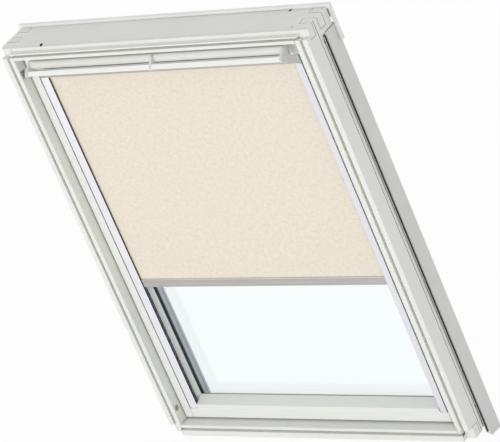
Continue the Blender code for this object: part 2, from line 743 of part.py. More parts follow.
def make_sill_cover(carrier):
    """Sill cover with its sloped top and drip edge."""
    front = FRAME_DEPTH + SEAT_GAP
    back = FRAME_DEPTH + SILL_COVER_DEPTH
    top = SILL_HEIGHT - SEAT_GAP
    wall = COVER_WALL
    outline = [
        (front, top),
        (front + 2 * wall, top),
        (back, top - SILL_HEIGHT / 2),
        (back, -SILL_COVER_DROP),
        (back - wall, -SILL_COVER_DROP),
        (back - wall, top - SILL_HEIGHT / 2),
        (front + wall, top - 2 * wall),
        (front + wall, 0.0),
        (front, 0.0),
    ]
    half = JAMB_INNER
    cover = along_x("sill_cover", outline, -half, half)
    place_on(cover, carrier, COVER_METAL)


def make_frame_seals(carrier):
    """Rubber strips in the grooves of the frame's inner faces."""
    front = FRAME_DEPTH - SEAL_WIDTH - SEAT_GAP
    back = FRAME_DEPTH - SEAT_GAP
    base = SEAL_GROOVE - SEAT_GAP
    across = JAMB_INNER - SEAL_PROUD - SEAT_GAP
    head = block("frame_seal_head", (-across, across), (front, back),
                 (HEAD_INNER - SEAL_PROUD, HEAD_INNER + base))
    place_on(head, carrier, DARK_RUBBER)
    sill = block("frame_seal_sill", (-across, across), (front, back),
                 (SILL_HEIGHT - base, SILL_HEIGHT + SEAL_PROUD))
    place_on(sill, carrier, DARK_RUBBER)
    for side in (-1, 1):
        strip = block(side_name("frame_seal", side), (JAMB_INNER - SEAL_PROUD, JAMB_INNER + base),
                      (front, back), (SILL_HEIGHT + SEAT_GAP, HEAD_INNER - SEAT_GAP), side)
        place_on(strip, carrier, DARK_RUBBER)


def make_hinge_plate(carrier, side):
    """Frame half of a pivot hinge, with the bore for the pin."""
    start = SASH_OUTER + HINGE_RUNNING_GAP
    across = (start, JAMB_INNER + HINGE_PLATE + SEAT_GAP)
    plate = hinge_block(side_name("hinge_plate", side), across, 0.0, side)
    bore = rod("bore", PIVOT_DEPTH, PIVOT_HEIGHT, PIN_RADIUS + PIN_GAP,
               side * (start - JAMB_WIDTH), side * (start + JAMB_WIDTH))
    cut(plate, bore)
    place_on(plate, carrier, STEEL)


def make_strike_plate(carrier):
    """Plate in the head with the hole that faces the latch tongue."""
    half = LOCK_THICKNESS / 2 + STRIKE_MARGIN
    bottom = HEAD_INNER + SEAT_GAP
    plate = block("strike_plate", (-STRIKE_HALF_WIDTH, STRIKE_HALF_WIDTH),
                  (LOCK_DEPTH - half, LOCK_DEPTH + half), (bottom, bottom + STRIKE_THICKNESS))
    hole_width = TONGUE_HALF_WIDTH + STRIKE_PLAY
    hole_depth = TONGUE_THICKNESS / 2 + STRIKE_PLAY
    hole = block("hole", (-hole_width, hole_width), (LOCK_DEPTH - hole_depth, LOCK_DEPTH + hole_depth),
                 (HEAD_INNER - HEAD_HEIGHT, FRAME_HEIGHT))
    cut(plate, hole)
    place_on(plate, carrier, STEEL)


def make_bushings(carrier, side):
    """Metal bushings for the barrel bolt: ventilation slot and cleaning position."""
    slot_depths, slot_heights = vent_slot()
    across = (JAMB_INNER, JAMB_INNER + BUSHING_THICKNESS)
    vent = block("vent_bushing", across, (slot_depths[0] - VENT_MARGIN, slot_depths[1] + VENT_MARGIN),
                 (slot_heights[0] - VENT_MARGIN, slot_heights[1] + VENT_MARGIN), side)
    slot = block("slot", (JAMB_INNER - JAMB_WIDTH, HALF_WIDTH), slot_depths, slot_heights, side)
    cut(vent, slot)
    place_on(vent, carrier, STEEL)
    ring = rod("cleaning_bushing", BUSHING_DEPTH, BUSHING_HEIGHT, BUSHING_RADIUS,
               side * across[0], side * across[1])
    hole = rod("hole", BUSHING_DEPTH, BUSHING_HEIGHT, BOLT_RADIUS + PIN_GAP,
               side * (JAMB_INNER - JAMB_WIDTH), side * HALF_WIDTH)
    cut(ring, hole)
    place_on(ring, carrier, STEEL)


# Sash

def make_stile(carrier, side):
    """Stile with the hinge pocket, the casing's pocket and, on the left, the barrel bolt's bore."""
    stile = along_z(side_name("sash_stile", side), stile_outline(), SASH_BOTTOM, SASH_TOP, side)
    pocket = hinge_block("pocket", (SASH_OUTER - HINGE_PLATE - 2 * SEAT_GAP, HALF_WIDTH), SEAT_GAP, side)
    cut(stile, pocket)
    room = block("room", (0.0, CASING_HALF_WIDTH + SEAT_GAP + CASING_END + SEAT_GAP),
                 (SASH_ROOM_DEPTH - SEAT_GAP, CASING_BACK + SEAT_GAP),
                 (CASING_BOTTOM - SEAT_GAP, CASING_TOP + SEAT_GAP), side)
    cut(stile, room)
    if side < 0:
        reach = KNOB_RADIUS + PIN_GAP
        bore = rod("bore", BOLT_DEPTH, BOLT_HEIGHT, BOLT_RADIUS + PIN_GAP,
                   side * (KNOB_ACROSS - reach - PIN_GAP), side * HALF_WIDTH)
        cut(stile, bore)
        slot = block("slot", (KNOB_ACROSS - reach, KNOB_ACROSS + BOLT_TRAVEL + reach),
                     (SASH_ROOM_DEPTH - KNOB_REACH, BOLT_DEPTH),
                     (BOLT_HEIGHT - reach, BOLT_HEIGHT + reach), side)
        cut(stile, slot)
    place_on(stile, carrier, WHITE_SASH)


def cut_stile_ends(rail):
    """Cope a rail's two ends to the stile's section."""
    for side in (-1, 1):
        outline = grown(stile_outline(), SEAT_GAP)
        tool = along_z("cope", outline, -SASH_TOP, 2 * SASH_TOP, side)
        cut(rail, tool)
        beyond = block("beyond", (SASH_OUTER, FRAME_WIDTH), (-FRAME_DEPTH, 2 * FRAME_DEPTH),
                       (-SASH_TOP, 2 * SASH_TOP), side)
        cut(rail, beyond)


def make_bottom_rail(carrier):
    """Bottom rail: grooved room face, slope to the glass, and ledges for the guides."""
    groove_top = RAIL_FACE_TOP + RAIL_GROOVE
    strip_top = groove_top + RAIL_STRIP
    rebate = PANE_BOTTOM - SEAT_GAP
    outline = [
        (SASH_ROOM_DEPTH, SASH_BOTTOM),
        (SASH_ROOM_DEPTH, RAIL_FACE_TOP),
        (SASH_ROOM_DEPTH + RAIL_GROOVE_DEPTH, RAIL_FACE_TOP),
        (SASH_ROOM_DEPTH + RAIL_GROOVE_DEPTH, groove_top),
        (SASH_ROOM_DEPTH, groove_top),
        (SASH_ROOM_DEPTH, strip_top),
        (GLASS_SEAT_DEPTH, GLASS_EDGE_BOTTOM),
        (GLASS_SEAT_DEPTH, rebate),
        (SASH_BACK_DEPTH, rebate),
        (SASH_BACK_DEPTH, SASH_BOTTOM),
    ]
    rail = along_x("sash_bottom_rail", outline, -SASH_OUTER, SASH_OUTER)
    cut_stile_ends(rail)
    for side in (-1, 1):
        ledge = block("ledge", (GUIDE_INNER - SEAT_GAP, SASH_OUTER), (-SASH_ROOM_DEPTH, SEAT_DEPTH),
                      (GUIDE_BOTTOM - SEAT_GAP, 2 * GLASS_EDGE_BOTTOM), side)
        cut(rail, ledge)
    place_on(rail, carrier, WHITE_SASH)


def make_top_rail(carrier):
    """Top rail: glazing lip, hollow for the blind casing and pocket for the lock case."""
    rebate = PANE_TOP + SEAT_GAP
    outline = [
        (TOP_RAIL_LIP_DEPTH, GLASS_EDGE_TOP),
        (GLASS_SEAT_DEPTH, GLASS_EDGE_TOP),
        (GLASS_SEAT_DEPTH, rebate),
        (SASH_BACK_DEPTH, rebate),
        (SASH_BACK_DEPTH, SASH_TOP),
        (SEAT_DEPTH, SASH_TOP),
        (SEAT_DEPTH, CASING_TOP + SEAT_GAP),
        (CASING_BACK + SEAT_GAP, CASING_TOP + SEAT_GAP),
        (CASING_BACK + SEAT_GAP, CASING_BOTTOM),
        (TOP_RAIL_LIP_DEPTH, CASING_BOTTOM - SPACER_TO_EDGE),
    ]
    rail = along_x("sash_top_rail", outline, -SASH_OUTER, SASH_OUTER)
    cut_stile_ends(rail)
    half = LOCK_THICKNESS / 2 + SEAT_GAP
    pocket = block("pocket", (-LOCK_HALF_WIDTH - SEAT_GAP, LOCK_HALF_WIDTH + SEAT_GAP),
                   (LOCK_DEPTH - half, LOCK_DEPTH + half), (SASH_TOP - LOCK_HEIGHT - SEAT_GAP, FRAME_HEIGHT))
    cut(rail, pocket)
    place_on(rail, carrier, WHITE_SASH)


def ring(name, across, heights, depths, width):
    """A rectangular ring in the glazing plane: outer half width and heights, and the ring's width."""
    body = block(name, (-across, across), depths, heights)
    window = block("window", (-across + width, across - width), (depths[0] - PANE, depths[1] + PANE),
                   (heights[0] + width, heights[1] - width))
    return cut(body, window)


def make_glazing(carrier):
    """Two panes, the spacer between them and the gasket that beds the inner pane."""
    heights = (PANE_BOTTOM, PANE_TOP)
    inner = block("inner_pane", (-PANE_SIDE, PANE_SIDE), (INNER_PANE_DEPTH, INNER_PANE_DEPTH + PANE), heights)
    place_on(inner, carrier, GLASS_CLEAR)
    outer = block("outer_pane", (-PANE_SIDE, PANE_SIDE), (OUTER_PANE_DEPTH, OUTER_PANE_DEPTH + PANE), heights)
    place_on(outer, carrier, GLASS_CLEAR)
    inset = SPACER_TO_EDGE - SPACER_WIDTH
    spacer = ring("glass_spacer", PANE_SIDE - inset, (PANE_BOTTOM + inset, PANE_TOP - inset),
                  (INNER_PANE_DEPTH + PANE + SEAT_GAP, OUTER_PANE_DEPTH - SEAT_GAP), SPACER_WIDTH)
    place_on(spacer, carrier, GUIDE_METAL)
    gasket_start = GLASS_SEAT_DEPTH + SEAT_GAP
    depths = (gasket_start, gasket_start + GASKET)
    gasket = block("glazing_gasket", (-PANE_SIDE, PANE_SIDE), depths, heights)
    window = block("window", (-GLASS_EDGE_SIDE - GASKET_SETBACK, GLASS_EDGE_SIDE + GASKET_SETBACK),
                   (depths[0] - PANE, depths[1] + PANE),
                   (GLASS_EDGE_BOTTOM - GASKET_SETBACK, GLASS_EDGE_TOP + GASKET_SETBACK))
    cut(gasket, window)
    place_on(gasket, carrier, DARK_RUBBER)


def cover_outline(edge, outer, away):
    """Sash cover section as (along, depth): lap on the glass, slope and flat weather face."""
    wall = SASH_COVER_WALL
    start = GLAZING_BACK + SEAT_GAP
    face = SASH_COVER_DEPTH
    lap = edge - away * SASH_COVER_LAP
    foot = edge - away * (SASH_COVER_SLOPE + wall)
    return [
        (lap, start),
        (lap, start + wall),
        (foot - away * wall, start + wall),
        (foot, face + wall),
        (outer, face + wall),
        (outer, face),
        (foot + away * wall, face),
        (foot, start),
    ]


def make_sash_covers(carrier):
    """Aluminium covers on the weather side of the sash."""
    outer = SASH_OUTER - SEAT_GAP
    for side in (-1, 1):
        outline = cover_outline(PANE_SIDE, outer, 1)
        cover = along_z(side_name("sash_cover", side), outline,
                        SASH_BOTTOM + SEAT_GAP, SASH_TOP - SEAT_GAP, side)
        for heights in ((-HEAD_HEIGHT, PANE_BOTTOM), (PANE_TOP, FRAME_HEIGHT)):
            rail_space = block("rail_space", (0.0, HALF_WIDTH), (0.0, SASH_COVER_DEPTH), heights, side)
            cut(cover, rail_space)
        place_on(cover, carrier, COVER_METAL)
    half = PANE_SIDE - SASH_COVER_LAP - SEAT_GAP
    bottom_outline = cover_outline(PANE_BOTTOM, SASH_BOTTOM + SEAT_GAP, -1)
    bottom = along_x("sash_cover_bottom", [(depth, height) for height, depth in bottom_outline], -half, half)
    place_on(bottom, carrier, COVER_METAL)
    top_outline = cover_outline(PANE_TOP, SASH_TOP - SEAT_GAP, 1)
    top = along_x("sash_cover_top", [(depth, height) for height, depth in top_outline], -half, half)
    place_on(top, carrier, COVER_METAL)


def make_sash_hinge(carrier, side):
    """Sash half of a pivot hinge: plate in the stile with the pin."""
    outer = SASH_OUTER - SEAT_GAP
    plate = hinge_block(side_name("sash_hinge", side), (outer - HINGE_PLATE, outer), 0.0, side)
    pin = rod("pin", PIVOT_DEPTH, PIVOT_HEIGHT, PIN_RADIUS,
              side * (outer - HINGE_PLATE / 2), side * (JAMB_INNER + PIN_REACH))
    join(plate, pin)
    place_on(plate, carrier, STEEL)


def make_pivot_bracket(carrier, side):
    """Bearing of the control bar, in the corner between the casing and the sash's top edge."""
    bracket = block(side_name("pivot_bracket", side), (GUIDE_INNER, STILE_INNER - SEAT_GAP),
                    (SASH_ROOM_DEPTH, SEAT_DEPTH - SEAT_GAP),
                    (CASING_TOP + SEAT_GAP, SASH_TOP - SEAT_GAP), side)
    bore = rod("bore", BAR_PIVOT_DEPTH, BAR_PIVOT_HEIGHT, BAR_PIN_RADIUS + PIN_GAP,
               side * (GUIDE_INNER - GUIDE_WIDTH), side * (FLAP_HALF_WIDTH + ARM_WIDTH))
    cut(bracket, bore)
    place_on(bracket, carrier, WHITE_SASH)


def make_lock_case(carrier):
    """Case of the latch in the top rail, open at the top for the tongue."""
    half = LOCK_THICKNESS / 2
    case = block("lock_case", (-LOCK_HALF_WIDTH, LOCK_HALF_WIDTH), (LOCK_DEPTH - half, LOCK_DEPTH + half),
                 (SASH_TOP - LOCK_HEIGHT, SASH_TOP - SEAT_GAP))
    well = block("well", (-TONGUE_HALF_WIDTH - TONGUE_CLEARANCE, TONGUE_HALF_WIDTH + TONGUE_CLEARANCE),
                 (LOCK_DEPTH - TONGUE_THICKNESS / 2 - TONGUE_CLEARANCE,
                  LOCK_DEPTH + TONGUE_THICKNESS / 2 + TONGUE_CLEARANCE),
                 (SASH_TOP - TONGUE_HEIGHT - TONGUE_TRAVEL - 2 * TONGUE_CLEARANCE, FRAME_HEIGHT))
    cut(case, well)
    place_on(case, carrier, STEEL)


def make_latch_tongue(carrier):
    """Tongue that the control bar draws into its case."""
    tongue = block("latch_tongue", (-TONGUE_HALF_WIDTH, TONGUE_HALF_WIDTH),
                   (LOCK_DEPTH - TONGUE_THICKNESS / 2, LOCK_DEPTH + TONGUE_THICKNESS / 2),
                   (SASH_TOP - TONGUE_HEIGHT, SASH_TOP - SEAT_GAP))
    place_on(tongue, carrier, STEEL)


def make_barrel_bolt(carrier, side):
    """Bolt rod in the left stile with its knob."""
    start = side * (KNOB_ACROSS - KNOB_RADIUS)
    bolt = rod("barrel_bolt", BOLT_DEPTH, BOLT_HEIGHT, BOLT_RADIUS, start, side * (SASH_OUTER - SEAT_GAP))
    points = []
    for across, height in circle(side * KNOB_ACROSS, BOLT_HEIGHT, KNOB_RADIUS):
        points.append((across, to_y(SASH_ROOM_DEPTH - KNOB_REACH), height))
    reach = BOLT_DEPTH - PIN_GAP - SASH_ROOM_DEPTH + KNOB_REACH
    knob = swept("knob", points, Vector((0, reach, 0)))
    join(bolt, knob)
    place_on(bolt, carrier, STEEL)


# Control bar

def flap_outline():
    """Flap section: web from the barrel to the top edge, then the curved panel."""
    return rounded([
        (BAR_PIVOT_DEPTH, FLAP_TOP - FLAP_WALL),
        (BAR_PIVOT_DEPTH, FLAP_TOP),
        (-FLAP_PROUD, FLAP_TOP, FLAP_ROUND),
        (-FLAP_PROUD, FLAP_BOTTOM),
        (-FLAP_PROUD + FLAP_WALL, FLAP_BOTTOM),
        (-FLAP_PROUD + FLAP_WALL, FLAP_TOP - FLAP_WALL, FLAP_ROUND - FLAP_WALL),
    ])


def make_flap(carrier):
    """Ventilation flap with its barrel and pivot pins."""
    flap = along_x("flap_panel", flap_outline(), -FLAP_HALF_WIDTH, FLAP_HALF_WIDTH)
    reach = GUIDE_INNER - 2 * SEAT_GAP
    for side in (-1, 1):
        end = block("end", (reach, FRAME_WIDTH), (SASH_ROOM_DEPTH / 2, FRAME_DEPTH),
                    (FLAP_BOTTOM - FLAP_HEIGHT, FRAME_HEIGHT), side)
        cut(flap, end)
    barrel = rod("barrel", BAR_PIVOT_DEPTH, BAR_PIVOT_HEIGHT, BAR_BARREL_RADIUS, -reach, reach)
    join(flap, barrel)
    pins = rod("pins", BAR_PIVOT_DEPTH, BAR_PIVOT_HEIGHT, BAR_PIN_RADIUS,
               -reach - BAR_PIN_LENGTH, reach + BAR_PIN_LENGTH)
    join(flap, pins)
    place_on(flap, carrier, WHITE_BAR)


def on_grip(along, back):
    """Depth and height of a place on the leaning grip, from the lower edge of its room face."""
    depth = -GRIP_REACH + along * math.cos(GRIP_LEAN) + back * math.sin(GRIP_LEAN)
    height = SASH_TOP - GRIP_DROP + along * math.sin(GRIP_LEAN) - back * math.cos(GRIP_LEAN)
    return depth, height


def grip_outline():
    """Grip section: a leaning bar with round edges."""
    return rounded([
        (*on_grip(0.0, 0.0), GRIP_ROUND),
        (*on_grip(0.0, GRIP_THICKNESS), GRIP_ROUND),
        (*on_grip(GRIP_HEIGHT, GRIP_THICKNESS), GRIP_ROUND),
        (*on_grip(GRIP_HEIGHT, 0.0), GRIP_ROUND),
    ])


def arm_outline():
    """Middle arm's section: crescent from the flap's top edge down to the grip."""
    clear = SEAT_GAP
    room_edge = (FLAP_TOP - SEAT_GAP - on_grip(0.0, 0.0)[1]) / math.sin(GRIP_LEAN)
    outline = [
        on_grip(-clear, -clear),
        on_grip(-clear, GRIP_THICKNESS + clear),
        on_grip(GRIP_HEIGHT / 2, GRIP_THICKNESS + 4 * clear),
        (-FLAP_PROUD - FLAP_WALL, FLAP_BOTTOM + FLAP_WALL / 2),
        (-FLAP_PROUD - clear, FLAP_BOTTOM + FLAP_WALL),
    ]
    centre = (-FLAP_PROUD + FLAP_ROUND, FLAP_TOP - FLAP_ROUND)
    reach = FLAP_ROUND + clear
    for step in range(ARC_STEPS + 1):
        angle = math.pi - ARM_ARC * step / ARC_STEPS
        outline.append((centre[0] + reach * math.cos(angle), centre[1] + reach * math.sin(angle)))
    top_depth, top_height = on_grip(room_edge, -clear)
    outline.append((top_depth + FLAP_WALL, top_height))
    outline.append((top_depth, top_height))
    return outline


def end_arm_outline():
    """End arm's section: round hook in front of the grip's end, over the flap's edge, with a leg."""
    return rounded([
        (*on_grip(-SEAT_GAP, SEAT_GAP), GRIP_ROUND),
        (*on_grip(GRIP_HEIGHT / 3, -END_ARM_PROUD), FLAP_ROUND / 2),
        on_grip(GRIP_HEIGHT, -END_ARM_PROUD / 3),
        (-2 * FLAP_PROUD, FLAP_TOP - FLAP_ROUND / 2),
        (FLAP_ROUND - FLAP_WALL, FLAP_TOP),
        (END_ARM_BACK, FLAP_TOP),
        (END_ARM_BACK, SASH_TOP - END_ARM_HEEL_DROP),
        (END_ARM_HEEL_DEPTH, SASH_TOP - END_ARM_HEEL_DROP),
        (-END_ARM_LEG_PROUD, SASH_TOP - END_ARM_LEG_DROP, GRIP_ROUND),
    ])


def make_control_bar(carrier):
    """Grips and arms on the flap."""
    middle_edge = ARM_WIDTH / 2 + SEAT_GAP
    for side in (-1, 1):
        grip = along_x(side_name("grip", side), grip_outline(), side * middle_edge, side * FLAP_HALF_WIDTH)
        place_on(grip, carrier, WHITE_BAR)
        start = side * (FLAP_HALF_WIDTH + SEAT_GAP)
        arm = along_x(side_name("arm", side), end_arm_outline(), start, start + side * ARM_WIDTH)
        place_on(arm, carrier, WHITE_BAR)
    middle = along_x("arm_middle", arm_outline(), -ARM_WIDTH / 2, ARM_WIDTH / 2)
    place_on(middle, carrier, WHITE_BAR)


# Blind

def make_side_guide(carrier, side):
    """Side guide: a channel that holds the fabric's edge and the slider."""
    outer = GUIDE_OUTER
    back = SEAT_DEPTH - SEAT_GAP
    outline = rounded([
        (outer, SASH_ROOM_DEPTH),
        (GUIDE_INNER, SASH_ROOM_DEPTH + GUIDE_FALL, GUIDE_LIP / 2),
        (GUIDE_INNER, SLOT_FRONT),
        (outer - GUIDE_WALL, SLOT_FRONT),
        (outer - GUIDE_WALL, SLOT_BACK),
        (GUIDE_INNER, SLOT_BACK),
        (GUIDE_INNER, SLOT_BACK + GUIDE_WALL),
        (outer - GUIDE_FOOT, SLOT_BACK + GUIDE_WALL),
        (outer - GUIDE_FOOT, back),
        (outer, back),
    ])
    guide = along_z(side_name("side_guide", side), outline, GUIDE_BOTTOM, GUIDE_TOP, side)
    place_on(guide, carrier, GUIDE_METAL)


def make_casing(carrier):
    """Casing of the roller, with the slot for the fabric in its floor."""
    wall = CASING_WALL
    slot_front = FABRIC_DEPTH - CASING_SLOT / 2
    slot_back = FABRIC_DEPTH + CASING_SLOT / 2
    outline = [
        (slot_front, CASING_BOTTOM),
        (CASING_FRONT, CASING_BOTTOM),
        (CASING_FRONT, CASING_TOP),
        (CASING_BACK, CASING_TOP),
        (CASING_BACK, CASING_BOTTOM),
        (slot_back, CASING_BOTTOM),
        (slot_back, CASING_BOTTOM + wall),
        (CASING_BACK - wall, CASING_BOTTOM + wall),
        (CASING_BACK - wall, CASING_TOP - wall),
        (CASING_FRONT + wall, CASING_TOP - wall),
        (CASING_FRONT + wall, CASING_BOTTOM + wall),
        (slot_front, CASING_BOTTOM + wall),
    ]
    casing = along_x("blind_casing", outline, -CASING_HALF_WIDTH, CASING_HALF_WIDTH)
    place_on(casing, carrier, GUIDE_METAL)


def make_casing_end(carrier, side):
    """End cap of the casing, with the bearing of the roller."""
    start = CASING_HALF_WIDTH + SEAT_GAP
    cap = block(side_name("casing_end", side), (start, start + CASING_END),
                (SASH_ROOM_DEPTH, CASING_BACK), (CASING_BOTTOM, CASING_TOP), side)
    bore = rod("bore", ROLLER_DEPTH, ROLLER_HEIGHT, ROLLER_PIN_RADIUS + PIN_GAP,
               side * (start - CASING_END), side * (start + 2 * CASING_END))
    cut(cap, bore)
    place_on(cap, carrier, GREY_PLASTIC)


def make_roller(carrier):
    """Roller tube, its plugs and the fabric that is still wound on it."""
    half = FABRIC_HALF_WIDTH
    tube = rod("roller_tube", ROLLER_DEPTH, ROLLER_HEIGHT, TUBE_RADIUS, -half, half)
    hollow = rod("hollow", ROLLER_DEPTH, ROLLER_HEIGHT, TUBE_RADIUS - TUBE_WALL, -FRAME_WIDTH, FRAME_WIDTH)
    cut(tube, hollow)
    place_on(tube, carrier, GUIDE_METAL)
    roll = rod("wound_fabric", ROLLER_DEPTH, ROLLER_HEIGHT, ROLL_RADIUS, -half, half)
    core = rod("core", ROLLER_DEPTH, ROLLER_HEIGHT, TUBE_RADIUS + SEAT_GAP, -FRAME_WIDTH, FRAME_WIDTH)
    cut(roll, core)
    place_on(roll, carrier, FABRIC_BEIGE)
    for side in (-1, 1):
        plug = rod(side_name("roller_plug", side), ROLLER_DEPTH, ROLLER_HEIGHT,
                   TUBE_RADIUS - TUBE_WALL - SEAT_GAP, side * (half - PLUG_LENGTH), side * half)
        pin = rod("pin", ROLLER_DEPTH, ROLLER_HEIGHT, ROLLER_PIN_RADIUS,
                  side * (half - PLUG_LENGTH / 2), side * (half + ROLLER_PIN_LENGTH))
        join(plug, pin)
        place_on(plug, carrier, GREY_PLASTIC)


def make_fabric(carrier):
    """The drawn-down fabric, from the roll's tangent to the bottom bar's pocket."""
    half = FABRIC_THICKNESS / 2
    bottom = BAR_TOP - BAR_POCKET + SEAT_GAP
    fabric = block("blind_fabric", (-FABRIC_HALF_WIDTH, FABRIC_HALF_WIDTH),
                   (FABRIC_DEPTH - half, FABRIC_DEPTH + half), (bottom, ROLLER_HEIGHT))
    place_on(fabric, carrier, FABRIC_BEIGE)


def make_bottom_bar(carrier):
    """Bottom bar with the pocket for the fabric, and its two sliders."""
    pocket = FABRIC_THICKNESS / 2 + SEAT_GAP
    middle = BAR_BOTTOM + SLIDER_HEIGHT
    outline = [
        (BAR_FRONT + BAR_GROOVE, BAR_BOTTOM),
        (BAR_FRONT, BAR_BOTTOM + BAR_GROOVE),
        (BAR_FRONT, middle - BAR_GROOVE / 2),
        (BAR_FRONT + BAR_GROOVE, middle),
        (BAR_FRONT, middle + BAR_GROOVE / 2),
        (BAR_FRONT, BAR_TOP - BAR_GROOVE),
        (BAR_FRONT + BAR_GROOVE, BAR_TOP),
        (FABRIC_DEPTH - pocket, BAR_TOP),
        (FABRIC_DEPTH - pocket, BAR_TOP - BAR_POCKET),
        (FABRIC_DEPTH + pocket, BAR_TOP - BAR_POCKET),
        (FABRIC_DEPTH + pocket, BAR_TOP),
        (BAR_BACK - BAR_GROOVE, BAR_TOP),
        (BAR_BACK, BAR_TOP - BAR_GROOVE),
        (BAR_BACK, BAR_BOTTOM + BAR_GROOVE),
        (BAR_BACK - BAR_GROOVE, BAR_BOTTOM),
    ]
    bar = along_x("bottom_bar", outline, -BAR_HALF_WIDTH, BAR_HALF_WIDTH)
    place_on(bar, carrier, GUIDE_METAL)
    inner = BAR_HALF_WIDTH + SEAT_GAP
    outer = GUIDE_OUTER - GUIDE_WALL - SLIDER_CLEARANCE
    for side in (-1, 1):
        slider = block(side_name("slider", side), (inner, outer),
                       (SLOT_FRONT + SLIDER_CLEARANCE, SLOT_BACK - SLIDER_CLEARANCE),
                       (SLIDER_BOTTOM, SLIDER_BOTTOM + SLIDER_HEIGHT), side)
        place_on(slider, carrier, GREY_PLASTIC)


frame_seat = anchor("frame_seat", 0.0, ORIGIN_DEPTH, 0.0)
sash_pivot = anchor("sash_pivot", 0.0, PIVOT_DEPTH, PIVOT_HEIGHT, frame_seat)
bar_pivot = anchor("bar_pivot", 0.0, BAR_PIVOT_DEPTH, BAR_PIVOT_HEIGHT, sash_pivot)
tongue_slide = anchor("tongue_slide", 0.0, LOCK_DEPTH, SASH_TOP, sash_pivot)
bolt_slide = anchor("bolt_slide", -SASH_OUTER, BOLT_DEPTH, BOLT_HEIGHT, sash_pivot)
roller_axis = anchor("roller_axis", 0.0, ROLLER_DEPTH, ROLLER_HEIGHT, sash_pivot)
blind_slide = anchor("blind_slide", 0.0, FABRIC_DEPTH, BAR_BOTTOM, sash_pivot)

make_head(frame_seat)
make_sill(frame_seat)
make_head_cover(frame_seat)
make_sill_cover(frame_seat)
make_frame_seals(frame_seat)
make_strike_plate(frame_seat)
make_bushings(frame_seat, -1)
make_bottom_rail(sash_pivot)
make_top_rail(sash_pivot)
make_glazing(sash_pivot)
make_sash_covers(sash_pivot)
make_lock_case(sash_pivot)
make_latch_tongue(tongue_slide)
make_barrel_bolt(bolt_slide, -1)
make_flap(bar_pivot)
make_control_bar(bar_pivot)
make_casing(sash_pivot)
make_roller(roller_axis)
make_fabric(sash_pivot)
make_bottom_bar(blind_slide)
for hand in (-1, 1):
    make_jamb(frame_seat, hand)
    make_side_cover(frame_seat, hand)
    make_side_seal(frame_seat, hand)
    make_cover_end(frame_seat, hand)
    make_hinge_plate(frame_seat, hand)
    make_stile(sash_pivot, hand)
    make_sash_hinge(sash_pivot, hand)
    make_pivot_bracket(sash_pivot, hand)
    make_side_guide(sash_pivot, hand)
    make_casing_end(sash_pivot, hand)

swing = math.degrees(2 * math.pi - math.atan2(BOLT_HEIGHT - PIVOT_HEIGHT, BOLT_DEPTH - PIVOT_DEPTH)
                     + math.atan2(BUSHING_HEIGHT - PIVOT_HEIGHT, BUSHING_DEPTH - PIVOT_DEPTH))
print("sash swing to the cleaning position, degrees:", round(swing, 3))
print("bolt height, vent height, bushing height:", BOLT_HEIGHT, VENT_HEIGHT, BUSHING_HEIGHT)
print("roller depth:", ROLLER_DEPTH)
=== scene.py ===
"""Dressed centre-pivot roof window with its roller blind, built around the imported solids."""

import json
import math

import bmesh
import bpy
from mathutils import Matrix, Vector
from mathutils.bvhtree import BVHTree

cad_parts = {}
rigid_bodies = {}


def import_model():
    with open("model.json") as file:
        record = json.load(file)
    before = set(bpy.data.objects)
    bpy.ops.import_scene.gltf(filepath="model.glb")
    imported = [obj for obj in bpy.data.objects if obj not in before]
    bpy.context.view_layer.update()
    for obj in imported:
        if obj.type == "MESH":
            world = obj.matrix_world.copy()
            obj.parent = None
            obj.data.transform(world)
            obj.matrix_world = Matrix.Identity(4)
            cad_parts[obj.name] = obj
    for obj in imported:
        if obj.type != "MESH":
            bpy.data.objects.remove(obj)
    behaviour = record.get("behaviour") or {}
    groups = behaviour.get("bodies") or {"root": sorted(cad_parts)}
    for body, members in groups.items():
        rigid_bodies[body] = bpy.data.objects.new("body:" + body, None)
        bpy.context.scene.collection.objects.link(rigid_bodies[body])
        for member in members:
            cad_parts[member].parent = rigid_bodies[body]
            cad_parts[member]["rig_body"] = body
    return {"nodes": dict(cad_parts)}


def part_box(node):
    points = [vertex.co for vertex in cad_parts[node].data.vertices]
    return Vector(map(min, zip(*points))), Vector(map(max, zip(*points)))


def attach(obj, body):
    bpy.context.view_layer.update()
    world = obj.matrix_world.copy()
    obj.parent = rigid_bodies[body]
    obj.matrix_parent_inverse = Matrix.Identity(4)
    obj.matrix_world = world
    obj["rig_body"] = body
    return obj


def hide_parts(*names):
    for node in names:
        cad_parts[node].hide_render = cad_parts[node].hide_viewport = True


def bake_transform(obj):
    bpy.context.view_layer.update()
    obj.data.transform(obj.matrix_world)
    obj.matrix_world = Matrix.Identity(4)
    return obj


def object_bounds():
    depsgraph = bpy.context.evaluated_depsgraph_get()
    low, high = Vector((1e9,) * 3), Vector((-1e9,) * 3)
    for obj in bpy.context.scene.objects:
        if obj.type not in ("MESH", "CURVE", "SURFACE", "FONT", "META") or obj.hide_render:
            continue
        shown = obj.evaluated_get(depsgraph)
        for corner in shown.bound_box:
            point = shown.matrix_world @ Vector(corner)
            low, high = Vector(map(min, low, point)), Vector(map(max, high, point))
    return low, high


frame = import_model()
cad_low, cad_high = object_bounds()

